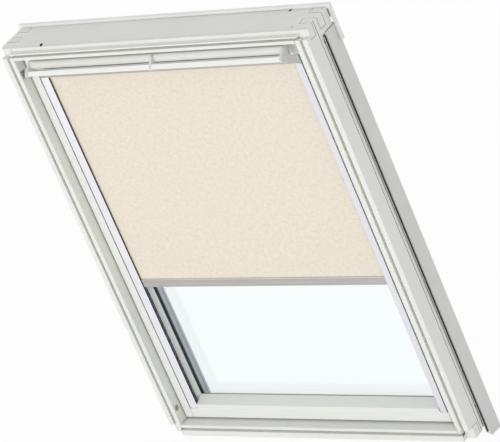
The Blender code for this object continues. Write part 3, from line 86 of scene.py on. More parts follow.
# Studio: a pale floor under the window, two soft lamps on the room side, one behind and a white surround.
# The eye stands on the room side, to the right and above, rolled as in the photograph.
EYE = Vector((4.5123, -4.7980, 3.6897))
EYE_RIGHT = Vector((0.7881, 0.5001, -0.3588))
EYE_UP = Vector((0.0186, 0.5633, 0.8260))
EYE_LENS_MM, EYE_SENSOR_MM = 258.73, 36.0
EYE_REACH = 60.0
FLOOR_HALF = 9.0
FLOOR_GAP = 0.0005
FLOOR_COLOUR = "#F2F2F0"
FLOOR_GLOW = 0.94
SURROUND_LIGHT = 0.67
LAMP_AIM = Vector((0.0, 0.0, 0.5))
LAMPS = (
    ("key_lamp", (-0.8, -6.0, 1.1), 2.4, 132.0),
    ("fill_lamp", (4.2, -1.6, 2.0), 2.4, 18.0),
    ("rear_lamp", (1.5, 4.5, 3.2), 2.6, 40.0),
)


def linear(text):
    """An sRGB hex colour as linear red, green, blue and alpha."""
    parts = [int(text[place:place + 2], 16) / 255 for place in (1, 3, 5)]
    return (*(c / 12.92 if c <= 0.04045 else ((c + 0.055) / 1.055) ** 2.4 for c in parts), 1.0)


def add_node(tree, kind, inputs=(), **settings):
    """A node with its settings; inputs pairs a socket with a value or with the output that feeds it."""
    made = tree.nodes.new(kind)
    for setting, value in settings.items():
        setattr(made, setting, value)
    for place, value in dict(inputs).items():
        if isinstance(value, bpy.types.NodeSocket):
            tree.links.new(value, made.inputs[place])
        else:
            made.inputs[place].default_value = value
    return made


def blank_material(name):
    """A material with an empty tree and its output node."""
    material = bpy.data.materials.new(name)
    material.use_nodes = True
    material.node_tree.nodes.clear()
    return material, material.node_tree, add_node(material.node_tree, "ShaderNodeOutputMaterial")


def add_object(name, mesh):
    """A new object in the scene, at the origin."""
    made = bpy.data.objects.new(name, mesh)
    bpy.context.scene.collection.objects.link(made)
    return made


eye_back = EYE_RIGHT.cross(EYE_UP).normalized()
eye_up = eye_back.cross(EYE_RIGHT).normalized()
camera = bpy.data.objects.new("eye", bpy.data.cameras.new("eye"))
bpy.context.scene.collection.objects.link(camera)
camera.data.lens = EYE_LENS_MM
camera.data.sensor_width = EYE_SENSOR_MM
camera.data.clip_end = EYE_REACH
turn = Matrix((eye_up.cross(eye_back), eye_up, eye_back)).transposed()
camera.matrix_world = Matrix.Translation(EYE) @ turn.to_4x4()
bpy.context.scene.camera = camera
bpy.context.scene.view_settings.view_transform = "Standard"

for lamp_name, place, size, power in LAMPS:
    lamp = bpy.data.lights.new(lamp_name, "AREA")
    lamp.shape = "SQUARE"
    lamp.size = size
    lamp.energy = power
    holder = bpy.data.objects.new(lamp_name, lamp)
    bpy.context.scene.collection.objects.link(holder)
    toward = (LAMP_AIM - Vector(place)).to_track_quat("-Z", "Y")
    holder.matrix_world = Matrix.Translation(place) @ toward.to_matrix().to_4x4()

surround = bpy.data.worlds.new("white_surround")
bpy.context.scene.world = surround
surround.use_nodes = True
tree = surround.node_tree
tree.nodes.clear()
path = add_node(tree, "ShaderNodeLightPath")
seen = add_node(tree, "ShaderNodeMath",
                {0: path.outputs["Is Camera Ray"], 1: path.outputs["Is Glossy Ray"]}, operation="MAXIMUM")
seen = add_node(tree, "ShaderNodeMath", {0: seen.outputs[0], 1: path.outputs["Is Transmission Ray"]},
                operation="MAXIMUM")
level = add_node(tree, "ShaderNodeMapRange",
                 {"Value": seen.outputs[0], "To Min": SURROUND_LIGHT, "To Max": 1.0})
sky = add_node(tree, "ShaderNodeBackground", {"Color": (1, 1, 1, 1), "Strength": level.outputs[0]})
add_node(tree, "ShaderNodeOutputWorld", {"Surface": sky.outputs[0]})

floor_mesh = bpy.data.meshes.new("floor")
floor_height = cad_low.z - FLOOR_GAP
floor_mesh.from_pydata([(x * FLOOR_HALF, y * FLOOR_HALF, floor_height)
                        for x, y in ((-1, -1), (1, -1), (1, 1), (-1, 1))], [], [(0, 1, 2, 3)])
floor = add_object("floor", floor_mesh)
material, tree, output = blank_material("matt_pale_floor")
path = add_node(tree, "ShaderNodeLightPath")
straight = add_node(tree, "ShaderNodeMath",
                    {0: path.outputs["Is Camera Ray"], 1: FLOOR_GLOW}, operation="MULTIPLY")
share = add_node(tree, "ShaderNodeMath",
                 {0: straight.outputs[0], 1: path.outputs["Is Glossy Ray"]}, operation="MAXIMUM")
share = add_node(tree, "ShaderNodeMath",
                 {0: share.outputs[0], 1: path.outputs["Is Transmission Ray"]}, operation="MAXIMUM")
matt = add_node(tree, "ShaderNodeBsdfDiffuse", {"Color": linear(FLOOR_COLOUR)})
glow = add_node(tree, "ShaderNodeEmission", {"Color": (1, 1, 1, 1), "Strength": 1.0})
mixed = add_node(tree, "ShaderNodeMixShader",
                 {0: share.outputs[0], 1: matt.outputs[0], 2: glow.outputs[0]})
tree.links.new(mixed.outputs[0], output.inputs["Surface"])
floor.data.materials.append(material)

# Frame: head, sill and two jambs of planed pine, finger-jointed at the corners and sprayed with white
# lacquer. The lacquer is smooth to the touch and follows the grain; it lies thinner over the eased edges,
# which are lighter by a painted highlight. A saw line runs along each jamb's outer side and across the
# head's ends.
FRAME_WHITE = "#E9EAE5"
FRAME_EDGE_HIGHLIGHT = "#F7F8F4"
JOINT_AND_SHADE_GREY = "#A9AAA4"
CUT_WALL_PAINTED_SHADE = "#1F1F1E"
LACQUER_ROUGHNESS = 0.42
GRAIN_WIDTH, GRAIN_LENGTH = 0.0022, 0.09
GRAIN_RELIEF, PEEL_RELIEF = 0.00012, 0.00005
DOUBLES_APART = 1e-6
FLAT_ANGLE, EASED_ANGLE, SHARP_ANGLE = math.radians(1), math.radians(40), math.radians(38)
JOINT_REACH, BORE_REACH = 0.0009, 0.00025
FRAME_EASING = 0.0006
RECESS_WALL = 0.387
RECESS_HOLES = ((0.0080, 0.9210, 0.0030), (0.0086, 0.0518, 0.0030), (0.0100, 0.0355, 0.0030))
HEAD_HOLES = ((-0.285, -0.0280, 0.0036), (0.306, 0.0405, 0.0034), (0.350, -0.0240, 0.0016))
HOLE_DEPTH = 0.012
SAW_PLACE, SAW_DEPTH, SAW_WIDTH = -0.0078, 0.0016, 0.0009
HEAD_BEVEL, BEVEL_FACING, BEVEL_PAINTED_SHADE = 0.0041, 0.3, 0.42
SIDES = (("left", -1), ("right", 1))


def shape_object(name, shape):
    """A new object from a finished bmesh, which is freed."""
    mesh = bpy.data.meshes.new(name)
    shape.to_mesh(mesh)
    shape.free()
    return add_object(name, mesh)


def round_cutter(centre, axis, radius, length):
    """A round cutter, centred on a point and lying along an axis."""
    shape = bmesh.new()
    bmesh.ops.create_cone(shape, cap_ends=True, segments=24, radius1=radius, radius2=radius, depth=length)
    turned = Vector(axis).to_track_quat("Z", "Y").to_matrix().to_4x4()
    shape.transform(Matrix.Translation(centre) @ turned)
    return shape_object("cutter", shape)


def saw_cutter(ends, low_z, high_z):
    """The saw's path between two X places and two heights."""
    low, high = Vector((ends[0], SAW_PLACE, low_z)), Vector((ends[1], SAW_PLACE + SAW_WIDTH, high_z))
    shape = bmesh.new()
    bmesh.ops.create_cube(shape, size=1.0)
    shape.transform(Matrix.Translation((low + high) / 2) @ Matrix.Diagonal((*(high - low), 1.0)))
    return shape_object("cutter", shape)


def apply_modifiers(holder):
    """Turns an object with modifiers into a plain one with their result as its mesh."""
    made = bpy.data.meshes.new_from_object(holder.evaluated_get(bpy.context.evaluated_depsgraph_get()))
    holder.modifiers.clear()
    holder.data = made
    return made


# All solids at rest in one tree: it tells where an eased edge meets another solid, which shows as a joint.
corners, faces, owners = [], [], []
for label, solid in frame["nodes"].items():
    first = len(corners)
    corners += [vertex.co.copy() for vertex in solid.data.vertices]
    faces += [[first + index for index in face.vertices] for face in solid.data.polygons]
    owners += [label] * len(solid.data.polygons)
neighbours = BVHTree.FromPolygons(corners, faces)


def dress(node, suffix, easing, material, cutters=(), reshape=None):
    """A finished piece from a CAD solid: doubles merged, faces joined, edges eased, then put on its body.

    reshape, if given, moves each point before the edges are eased. Faces carry two values for the material:
    eased is 1 on an eased edge; joint is 1 where that edge meets another solid, and 2 on a cutter's
    walls, which are painted near black as shade."""
    shape = bmesh.new()
    shape.from_mesh(frame["nodes"][node].data)
    bmesh.ops.remove_doubles(shape, verts=shape.verts, dist=DOUBLES_APART)
    bmesh.ops.dissolve_limit(shape, angle_limit=FLAT_ANGLE, verts=shape.verts, edges=shape.edges,
                             delimit={"NORMAL"})
    for vertex in shape.verts if reshape else ():
        vertex.co = reshape(vertex.co)
    rough = shape_object(f"{node}_{suffix}", shape)
    for cutter in cutters:
        cut = rough.modifiers.new("hole", "BOOLEAN")
        cut.operation = "DIFFERENCE"
        cut.solver = "EXACT"
        cut.object = cutter
    eased = rough.modifiers.new("eased_edges", "BEVEL")
    eased.width = easing
    eased.segments = 2
    eased.limit_method = "ANGLE"
    eased.angle_limit = EASED_ANGLE
    eased.use_clamp_overlap = False
    eased.material = 1
    rough.data.materials.clear()
    rough.data.materials.append(material)
    rough.data.materials.append(material)
    made = apply_modifiers(rough)
    walls = [BVHTree.FromPolygons([corner.co for corner in cutter.data.vertices],
                                  [list(face.vertices) for face in cutter.data.polygons])
             for cutter in cutters]
    edge = made.attributes.new("eased", "FLOAT", "FACE")
    edge.data.foreach_set("value", [float(face.material_index) for face in made.polygons])
    joint = made.attributes.new("joint", "FLOAT", "FACE")
    for face in made.polygons:
        near = neighbours.find_nearest_range(face.center, JOINT_REACH) if face.material_index else ()
        on_cut_wall = any(wall.find_nearest(face.center, BORE_REACH)[0] for wall in walls)
        joined = any(owners[found[2]] != node for found in near)
        joint.data[face.index].value = 2.0 if on_cut_wall else float(joined)
    made.materials.clear()
    made.materials.append(material)
    for face in made.polygons:
        face.material_index = 0
    made.shade_smooth()
    made.set_sharp_from_angle(angle=SHARP_ANGLE)
    level = rough.modifiers.new("flat_faces", "WEIGHTED_NORMAL")
    level.keep_sharp = True
    for cutter in cutters:
        bpy.data.objects.remove(cutter)
    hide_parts(node)
    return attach(rough, frame["nodes"][node]["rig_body"])


def drawn_along(tree, where, along, width, length):
    """Places for a pattern whose marks have this width, and this length along X or Z."""
    across, down = 1 / width, 1 / length
    scale = (down, across, across) if along == "X" else (across, across, down)
    return add_node(tree, "ShaderNodeMapping", {"Vector": where.outputs["Object"], "Scale": scale}).outputs[0]


def grained_lacquer(name, along, colour, edge_highlight, roughness):
    """White lacquer over pine: grain runs along X or Z, drawn a little coarser than the real one."""
    material, tree, output = blank_material(name)
    where = add_node(tree, "ShaderNodeTexCoord")
    grain = add_node(tree, "ShaderNodeTexNoise",
                     {"Vector": drawn_along(tree, where, along, GRAIN_WIDTH, GRAIN_LENGTH),
                      "Scale": 1.0, "Detail": 5.0, "Roughness": 0.6})
    tone = add_node(tree, "ShaderNodeTexNoise",
                    {"Vector": where.outputs["Object"], "Scale": 9.0, "Detail": 3.0, "Roughness": 0.5})
    peel = add_node(tree, "ShaderNodeTexNoise",
                    {"Vector": where.outputs["Object"], "Scale": 900.0, "Detail": 2.0, "Roughness": 0.5})
    edge = add_node(tree, "ShaderNodeAttribute", attribute_name="eased")
    base = linear(colour)
    shaded = tuple(c * 0.93 for c in base[:3]) + (1.0,)
    grain_share = add_node(tree, "ShaderNodeMapRange",
                           {"Value": grain.outputs[0], "From Min": 0.35, "From Max": 0.75, "To Max": 0.55})
    body = add_node(tree, "ShaderNodeMix", {0: grain_share.outputs[0], 6: base, 7: shaded}, data_type="RGBA")
    tone_share = add_node(tree, "ShaderNodeMapRange",
                          {"Value": tone.outputs[0], "From Min": 0.3, "From Max": 0.7, "To Max": 0.45})
    toned = add_node(tree, "ShaderNodeMix", {0: tone_share.outputs[0], 6: body.outputs[2], 7: shaded},
                     data_type="RGBA")
    # Eased edges turn lighter: thinner lacquer and a painted highlight.
    worn_highlight = add_node(tree, "ShaderNodeMath",
                    {0: edge.outputs["Fac"], 1: tone.outputs[0]}, operation="MULTIPLY")
    highlighted = add_node(tree, "ShaderNodeMix",
                     {0: worn_highlight.outputs[0], 6: toned.outputs[2], 7: linear(edge_highlight)}, data_type="RGBA")
    # Joints are mixed to a dark grey; at part strength the same grey is a painted shade on the head's bevel.
    joint = add_node(tree, "ShaderNodeAttribute", attribute_name="joint")
    finished = add_node(tree, "ShaderNodeMix",
                        {0: joint.outputs["Fac"], 6: highlighted.outputs[2], 7: linear(JOINT_AND_SHADE_GREY)},
                        data_type="RGBA")
    # Walls cut by holes and saw lines are painted near black as shade.
    cut_wall_shade = add_node(tree, "ShaderNodeMapRange",
                    {"Value": joint.outputs["Fac"], "From Min": 1.0, "From Max": 2.0})
    finished = add_node(tree, "ShaderNodeMix",
                        {0: cut_wall_shade.outputs[0], 6: finished.outputs[2], 7: linear(CUT_WALL_PAINTED_SHADE)},
                        data_type="RGBA")
    gloss = add_node(tree, "ShaderNodeMapRange",
                     {"Value": tone.outputs[0], "From Min": 0.25, "From Max": 0.75,
                      "To Min": roughness - 0.05, "To Max": roughness + 0.07})
    ridges = add_node(tree, "ShaderNodeBump",
                      {"Strength": 0.35, "Distance": GRAIN_RELIEF, "Height": grain.outputs[0]})
    skin = add_node(tree, "ShaderNodeBump",
                    {"Strength": 0.25, "Distance": PEEL_RELIEF, "Height": peel.outputs[0],
                     "Normal": ridges.outputs[0]})
    shader = add_node(tree, "ShaderNodeBsdfPrincipled",
                      {"Base Color": finished.outputs[2], "Roughness": gloss.outputs[0], "IOR": 1.48,
                       "Normal": skin.outputs[0]})
    tree.links.new(shader.outputs[0], output.inputs["Surface"])
    return material


frame_lacquer_upright, frame_lacquer_level = (
    grained_lacquer(f"pine_white_lacquer_{way}", along, FRAME_WHITE, FRAME_EDGE_HIGHLIGHT, LACQUER_ROUGHNESS)
    for way, along in (("upright", "Z"), ("level", "X")))
low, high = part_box("frame_head")
saw_ends = {side: sorted((hand * (high.x - SAW_DEPTH), hand * (high.x + SAW_DEPTH))) for side, hand in SIDES}
for side, hand in SIDES:
    holes = [round_cutter((hand * RECESS_WALL, y, z), (1, 0, 0), radius, HOLE_DEPTH)
             for y, z, radius in RECESS_HOLES]
    line = saw_cutter(saw_ends[side], -SAW_DEPTH, high.z + SAW_DEPTH)
    dress(f"frame_jamb_{side}", "wood", FRAME_EASING, frame_lacquer_upright, [line, *holes])
head_cutters = [round_cutter((x, y, high.z), (0, 0, 1), radius, HOLE_DEPTH) for x, y, radius in HEAD_HOLES]
head_cutters += [saw_cutter(ends, low.z - SAW_DEPTH, high.z + SAW_DEPTH) for ends in saw_ends.values()]
head = dress("frame_head", "wood", FRAME_EASING, frame_lacquer_level, head_cutters)
# The bevel along the head's top edge faces up and to the room and carries a painted shade: it takes part of
# the joints' grey.
head_shade_layer = head.data.attributes["joint"]
for face in head.data.polygons:
    bevelled = face.normal.y < -BEVEL_FACING and face.normal.z > BEVEL_FACING
    if bevelled and face.center.z > high.z - HEAD_BEVEL:
        head_shade_layer.data[face.index].value = BEVEL_PAINTED_SHADE
dress("frame_sill", "wood", FRAME_EASING, frame_lacquer_level)

# Weather covers of the frame: folded aluminium sheet, coil-coated in a pale grey-white before it was bent.
# The coat has the fine pebble of sprayed paint; along the folds it is rubbed and brighter by a painted
# highlight.
COVER_WHITE, COVER_EDGE_HIGHLIGHT = "#D9D9D6", "#E8E8E5"
# The head cover has the same coil coating painted lighter, as painted light on its rim.
HEAD_COVER_LIT_WHITE, HEAD_COVER_EDGE_HIGHLIGHT = "#F1F2EF", "#FBFBF9"
COVER_ROUGHNESS, COVER_PEBBLE_MM = 0.38, 0.9
PEBBLE_RELIEF = 0.00006
COVER_EASING = 0.0003


def dull_surface(tree, output, colour, patches, roughness, grain, relief, strength=0.3):
    """A coat, plastic or rubber: its roughness varies in patches, and its grain stands up by the relief."""
    gloss = add_node(tree, "ShaderNodeMapRange",
                     {"Value": patches.outputs[0], "From Min": 0.3, "From Max": 0.7,
                      "To Min": roughness[0], "To Max": roughness[1]})
    skin = add_node(tree, "ShaderNodeBump",
                    {"Strength": strength, "Distance": relief, "Height": grain.outputs[0]})
    shader = add_node(tree, "ShaderNodeBsdfPrincipled",
                      {"Base Color": colour.outputs[2], "Roughness": gloss.outputs[0], "IOR": 1.5,
                       "Normal": skin.outputs[0]})
    tree.links.new(shader.outputs[0], output.inputs["Surface"])


def coated_metal(name, colour, edge_highlight, roughness, pebble_mm):
    """Sprayed or coil-coated paint on aluminium: an even colour, a fine pebble, and rubbed folds brightened
    by a painted highlight.
    """
    material, tree, output = blank_material(name)
    where = add_node(tree, "ShaderNodeTexCoord")
    cloud = add_node(tree, "ShaderNodeTexNoise",
                     {"Vector": where.outputs["Object"], "Scale": 14.0, "Detail": 4.0, "Roughness": 0.55})
    pebble = add_node(tree, "ShaderNodeTexNoise",
                      {"Vector": where.outputs["Object"], "Scale": 1000.0 / pebble_mm, "Detail": 2.0})
    edge = add_node(tree, "ShaderNodeAttribute", attribute_name="eased")
    base = linear(colour)
    dusty = tuple(c * 0.94 for c in base[:3]) + (1.0,)
    share = add_node(tree, "ShaderNodeMapRange",
                     {"Value": cloud.outputs[0], "From Min": 0.35, "From Max": 0.7})
    body = add_node(tree, "ShaderNodeMix", {0: share.outputs[0], 6: base, 7: dusty}, data_type="RGBA")
    # Eased folds turn lighter: a rubbed coat and a painted highlight.
    rubbed_highlight = add_node(tree, "ShaderNodeMath",
                      {0: edge.outputs["Fac"], 1: cloud.outputs[0]}, operation="MULTIPLY")
    finished = add_node(tree, "ShaderNodeMix",
                        {0: rubbed_highlight.outputs[0], 6: body.outputs[2], 7: linear(edge_highlight)},
                        data_type="RGBA")
    dull_surface(tree, output, finished, cloud, (roughness - 0.04, roughness + 0.06), pebble, PEBBLE_RELIEF)
    return material


cover_coating = coated_metal("aluminium_coil_coated", COVER_WHITE, COVER_EDGE_HIGHLIGHT,
                             COVER_ROUGHNESS, COVER_PEBBLE_MM)
head_lit_coating = coated_metal("aluminium_coil_coated_painted_light", HEAD_COVER_LIT_WHITE, HEAD_COVER_EDGE_HIGHLIGHT,
                            COVER_ROUGHNESS, COVER_PEBBLE_MM)
dress("head_cover", "sheet", COVER_EASING, head_lit_coating)
for node in ("sill_cover", "side_cover_left", "side_cover_right"):
    dress(node, "sheet", COVER_EASING, cover_coating)

# End blocks of the head cover: small moulded stops of white plastic, pushed into the folded returns.
# Moulding leaves them satin, with a faint spark-eroded grain.
STOP_WHITE = "#F1F1EE"
STOP_ROUGHNESS, STOP_GRAIN_MM = 0.45, 0.5
STOP_EASING = 0.0005
SPARK_RELIEF = 0.00004


def moulded_plastic(name, colour, roughness, grain_mm):
    """Injection-moulded plastic with the fine, even grain of an eroded tool."""
    material, tree, output = blank_material(name)
    where = add_node(tree, "ShaderNodeTexCoord")
    grain = add_node(tree, "ShaderNodeTexVoronoi",
                     {"Vector": where.outputs["Object"], "Scale": 1000.0 / grain_mm})
    flow = add_node(tree, "ShaderNodeTexNoise",
                    {"Vector": where.outputs["Object"], "Scale": 30.0, "Detail": 3.0})
    edge = add_node(tree, "ShaderNodeAttribute", attribute_name="eased")
    base = linear(colour)
    darker = tuple(c * 0.9 for c in base[:3]) + (1.0,)
    # Eased edges turn lighter: rubbed plastic and a painted highlight.
    highlight_colour = tuple(min(1.0, c * 1.15) for c in base[:3]) + (1.0,)
    body = add_node(tree, "ShaderNodeMix", {0: flow.outputs[0], 6: base, 7: darker}, data_type="RGBA")
    rubbed_highlight = add_node(tree, "ShaderNodeMath",
                      {0: edge.outputs["Fac"], 1: flow.outputs[0]}, operation="MULTIPLY")
    finished = add_node(tree, "ShaderNodeMix", {0: rubbed_highlight.outputs[0], 6: body.outputs[2], 7: highlight_colour},
                        data_type="RGBA")
    dull_surface(tree, output, finished, flow, (roughness - 0.05, roughness + 0.05), grain, SPARK_RELIEF)
    return material


stop_plastic = moulded_plastic("polypropylene_white", STOP_WHITE, STOP_ROUGHNESS, STOP_GRAIN_MM)
for side, _ in SIDES:
    dress(f"cover_end_{side}", "block", STOP_EASING, stop_plastic)

# Weather seals: EPDM rubber, extruded in lengths. The side seals lie between jamb and cover, grey with a
# black lip at the cover. The others are black and pressed into grooves on the frame's inner faces.
SEAL_BLACK, SEAL_BLOOM = "#232425", "#6A6B6B"
SEAL_GREY = "#C9CAC5"
SEAL_LIP_FROM = 0.0085
DIE_LINE_WIDTH, DIE_LINE_LENGTH = 0.0007, 0.2
DIE_LINE_RELIEF = 0.0001
RUBBER_ROUGHNESS = (0.6, 0.85)
SEAL_EASING = 0.0003


def extruded_rubber(name, along, colour, lip_from=1.0):
    """EPDM with faint die lines along X or Z and a dull bloom, black where Y lies beyond the lip's start."""
    material, tree, output = blank_material(name)
    where = add_node(tree, "ShaderNodeTexCoord")
    lines = add_node(tree, "ShaderNodeTexNoise",
                     {"Vector": drawn_along(tree, where, along, DIE_LINE_WIDTH, DIE_LINE_LENGTH),
                      "Scale": 1.0, "Detail": 3.0})
    bloom = add_node(tree, "ShaderNodeTexNoise",
                     {"Vector": where.outputs["Object"], "Scale": 60.0, "Detail": 5.0, "Roughness": 0.65})
    place = add_node(tree, "ShaderNodeSeparateXYZ", {0: where.outputs["Object"]})
    lip = add_node(tree, "ShaderNodeMath", {0: place.outputs[1], 1: lip_from}, operation="GREATER_THAN")
    base = add_node(tree, "ShaderNodeMix",
                    {0: lip.outputs[0], 6: linear(colour), 7: linear(SEAL_BLACK)}, data_type="RGBA")
    share = add_node(tree, "ShaderNodeMapRange",
                     {"Value": bloom.outputs[0], "From Min": 0.45, "From Max": 0.8, "To Max": 0.35})
    body = add_node(tree, "ShaderNodeMix",
                    {0: share.outputs[0], 6: base.outputs[2], 7: linear(SEAL_BLOOM)}, data_type="RGBA")
    dull_surface(tree, output, body, bloom, RUBBER_ROUGHNESS, lines, DIE_LINE_RELIEF, strength=0.5)
    return material


rubber_upright = extruded_rubber("epdm_black_upright", "Z", SEAL_BLACK)
rubber_level = extruded_rubber("epdm_black_level", "X", SEAL_BLACK)
rubber_lipped = extruded_rubber("epdm_grey_black_lip", "Z", SEAL_GREY, SEAL_LIP_FROM)
for side, _ in SIDES:
    dress(f"side_seal_{side}", "rubber", SEAL_EASING, rubber_lipped)
    dress(f"frame_seal_{side}", "rubber", SEAL_EASING, rubber_upright)
for node in ("frame_seal_head", "frame_seal_sill"):
    dress(node, "rubber", SEAL_EASING, rubber_level)

# Hinges, strike plate and bolt bushings: pressed steel, zinc-plated and passivated to a blue-white sheen.
# Countersunk cross-recess screws, made by one node tree, hold the plates to frame and sash.
ZINC, ZINC_DULL, ZINC_EDGE_HIGHLIGHT = "#BFC1C4", "#9C9FA4", "#D9DBDD"
DIPPED_BLACK = "#141516"
ZINC_RELIEF = 0.00004
PLATE_EASING, BUSH_EASING = 0.0004, 0.0003
SCREW_RADIUS, SCREW_HEIGHT, SCREW_SINK = 0.0030, 0.0009, 0.0006
HINGE_SCREW_ACROSS, HINGE_SCREW_FROM_END = 0.008, (0.012, 0.034)
HINGE_GAP = 0.0007
STRIKE_SCREW_OUT = 0.031


def zinc_steel(name, black_before=-1.0):
    """Zinc-plated steel: crystal patches of differing sheen, rubbed edges brightened by a painted highlight,
    black where Y is below a mark.
    """
    material, tree, output = blank_material(name)
    where = add_node(tree, "ShaderNodeTexCoord")
    spangle = add_node(tree, "ShaderNodeTexVoronoi", {"Vector": where.outputs["Object"], "Scale": 450.0})
    cloud = add_node(tree, "ShaderNodeTexNoise",
                     {"Vector": where.outputs["Object"], "Scale": 90.0, "Detail": 5.0, "Roughness": 0.6})
    edge = add_node(tree, "ShaderNodeAttribute", attribute_name="eased")
    body = add_node(tree, "ShaderNodeMix", {0: cloud.outputs[0], 6: linear(ZINC), 7: linear(ZINC_DULL)},
                    data_type="RGBA")
    rubbed_highlight = add_node(tree, "ShaderNodeMix",
                      {0: edge.outputs["Fac"], 6: body.outputs[2], 7: linear(ZINC_EDGE_HIGHLIGHT)}, data_type="RGBA")
    place = add_node(tree, "ShaderNodeSeparateXYZ", {0: where.outputs["Object"]})
    bare = add_node(tree, "ShaderNodeMath", {0: place.outputs[1], 1: black_before}, operation="GREATER_THAN")
    finished = add_node(tree, "ShaderNodeMix",
                        {0: bare.outputs[0], 6: linear(DIPPED_BLACK), 7: rubbed_highlight.outputs[2]},
                        data_type="RGBA")
    split = add_node(tree, "ShaderNodeSeparateColor", {0: spangle.outputs["Color"]})
    gloss = add_node(tree, "ShaderNodeMapRange", {"Value": split.outputs[0], "To Min": 0.28, "To Max": 0.42})
    skin = add_node(tree, "ShaderNodeBump",
                    {"Strength": 0.15, "Distance": ZINC_RELIEF, "Height": cloud.outputs[0]})
    shader = add_node(tree, "ShaderNodeBsdfPrincipled",
                      {"Base Color": finished.outputs[2], "Roughness": gloss.outputs[0],
                       "Metallic": bare.outputs[0], "Normal": skin.outputs[0]})
    tree.links.new(shader.outputs[0], output.inputs["Surface"])
    return material


def screw_tree(material):
    """Cross-recess screw heads on points that carry a facing vector, as one Geometry Nodes tree.

    Each head is turned by a random angle with a fixed seed."""
    tree = bpy.data.node_groups.new("countersunk_screws", "GeometryNodeTree")
    tree.interface.new_socket("Geometry", in_out="INPUT", socket_type="NodeSocketGeometry")
    for label, value in (("Head Radius", SCREW_RADIUS), ("Head Height", SCREW_HEIGHT)):
        socket = tree.interface.new_socket(label, in_out="INPUT", socket_type="NodeSocketFloat")
        socket.default_value = value
    tree.interface.new_socket("Geometry", in_out="OUTPUT", socket_type="NodeSocketGeometry")
    given = add_node(tree, "NodeGroupInput")
    rim = add_node(tree, "ShaderNodeMath", {0: given.outputs["Head Radius"], 1: 0.86}, operation="MULTIPLY")
    head = add_node(tree, "GeometryNodeMeshCone",
                    {"Vertices": 28, "Radius Top": rim.outputs[0],
                     "Radius Bottom": given.outputs["Head Radius"], "Depth": given.outputs["Head Height"]})
    arm_long, arm_wide, arm_deep = (
        add_node(tree, "ShaderNodeMath", {0: given.outputs[measure], 1: times}, operation="MULTIPLY")
        for measure, times in (("Head Radius", 1.15), ("Head Radius", 0.24), ("Head Height", 1.2)))
    arms = []
    for first, second in ((arm_long, arm_wide), (arm_wide, arm_long)):
        size = add_node(tree, "ShaderNodeCombineXYZ",
                        {0: first.outputs[0], 1: second.outputs[0], 2: arm_deep.outputs[0]})
        lift = add_node(tree, "ShaderNodeCombineXYZ", {2: given.outputs["Head Height"]})
        arm = add_node(tree, "GeometryNodeMeshCube", {"Size": size.outputs[0]})
        arms.append(add_node(tree, "GeometryNodeTransform",
                             {"Geometry": arm.outputs[0], "Translation": lift.outputs[0]}))
    cross = add_node(tree, "GeometryNodeMeshBoolean", operation="UNION", solver="EXACT")
    for arm in arms:
        tree.links.new(arm.outputs[0], cross.inputs["Mesh 2"])
    recessed = add_node(tree, "GeometryNodeMeshBoolean", {"Mesh 1": head.outputs["Mesh"]},
                        operation="DIFFERENCE", solver="EXACT")
    tree.links.new(cross.outputs[0], recessed.inputs["Mesh 2"])
    facing = add_node(tree, "GeometryNodeInputNamedAttribute", {"Name": "facing"}, data_type="FLOAT_VECTOR")
    turned = add_node(tree, "FunctionNodeAlignRotationToVector", {"Vector": facing.outputs[0]}, axis="Z")
    spin = add_node(tree, "FunctionNodeRandomValue", {"Max": 3.14, "Seed": 7}, data_type="FLOAT")
    own = add_node(tree, "FunctionNodeAxisAngleToRotation", {"Axis": (0, 0, 1), "Angle": spin.outputs[1]})
    both = add_node(tree, "FunctionNodeRotateRotation", {0: turned.outputs[0], 1: own.outputs[0]},
                    rotation_space="LOCAL")
    points = add_node(tree, "GeometryNodeMeshToPoints", {"Mesh": given.outputs["Geometry"]})
    placed = add_node(tree, "GeometryNodeInstanceOnPoints",
                      {"Points": points.outputs[0], "Instance": recessed.outputs[0],
                       "Rotation": both.outputs[0]})
    real = add_node(tree, "GeometryNodeRealizeInstances", {0: placed.outputs[0]})
    coated = add_node(tree, "GeometryNodeSetMaterial", {"Geometry": real.outputs[0], "Material": material})
    result = add_node(tree, "NodeGroupOutput")
    tree.links.new(coated.outputs[0], result.inputs[0])
    return tree


def screws(name, spots, body):
    """Screw heads at points, each with the way it faces, as one plain mesh on a body."""
    mesh = bpy.data.meshes.new(name)
    mesh.from_pydata([Vector(spot) - SCREW_SINK * Vector(facing) for spot, facing in spots], [], [])
    way = mesh.attributes.new("facing", "FLOAT_VECTOR", "POINT")
    way.data.foreach_set("vector", [part for spot, facing in spots for part in facing])
    holder = add_object(name, mesh)
    heads = holder.modifiers.new("screw_heads", "NODES")
    heads.node_group = zinc_screws
    sockets = {item.name: item.identifier for item in zinc_screws.interface.items_tree
               if item.in_out == "INPUT"}
    heads[sockets["Head Radius"]] = SCREW_RADIUS
    heads[sockets["Head Height"]] = SCREW_HEIGHT
    apply_modifiers(holder)
    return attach(holder, body)


zinc_plate = zinc_steel("steel_zinc_plated")
zinc_screws = screw_tree(zinc_plate)
for side, hand in SIDES:
    for node in (f"hinge_plate_{side}", f"sash_hinge_{side}"):
        dress(node, "plate", PLATE_EASING, zinc_plate)
    low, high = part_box(f"hinge_plate_{side}")
    near_end, far_end = HINGE_SCREW_FROM_END
    places = [((low.y + high.y) / 2 + across, z) for across in (-HINGE_SCREW_ACROSS, HINGE_SCREW_ACROSS)
              for z in (low.z + near_end, low.z + far_end, high.z - far_end, high.z - near_end)]
    inner = min(abs(low.x), abs(high.x)) * hand
    screws(f"hinge_screws_{side}", [((inner, y, z), (-hand, 0, 0)) for y, z in places], "frame")
    outer = (min(abs(low.x), abs(high.x)) - HINGE_GAP) * hand
    screws(f"sash_hinge_screws_{side}", [((outer, y, z), (hand, 0, 0)) for y, z in places], "sash")
dress("strike_plate", "plate", PLATE_EASING, zinc_plate)
low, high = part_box("strike_plate")
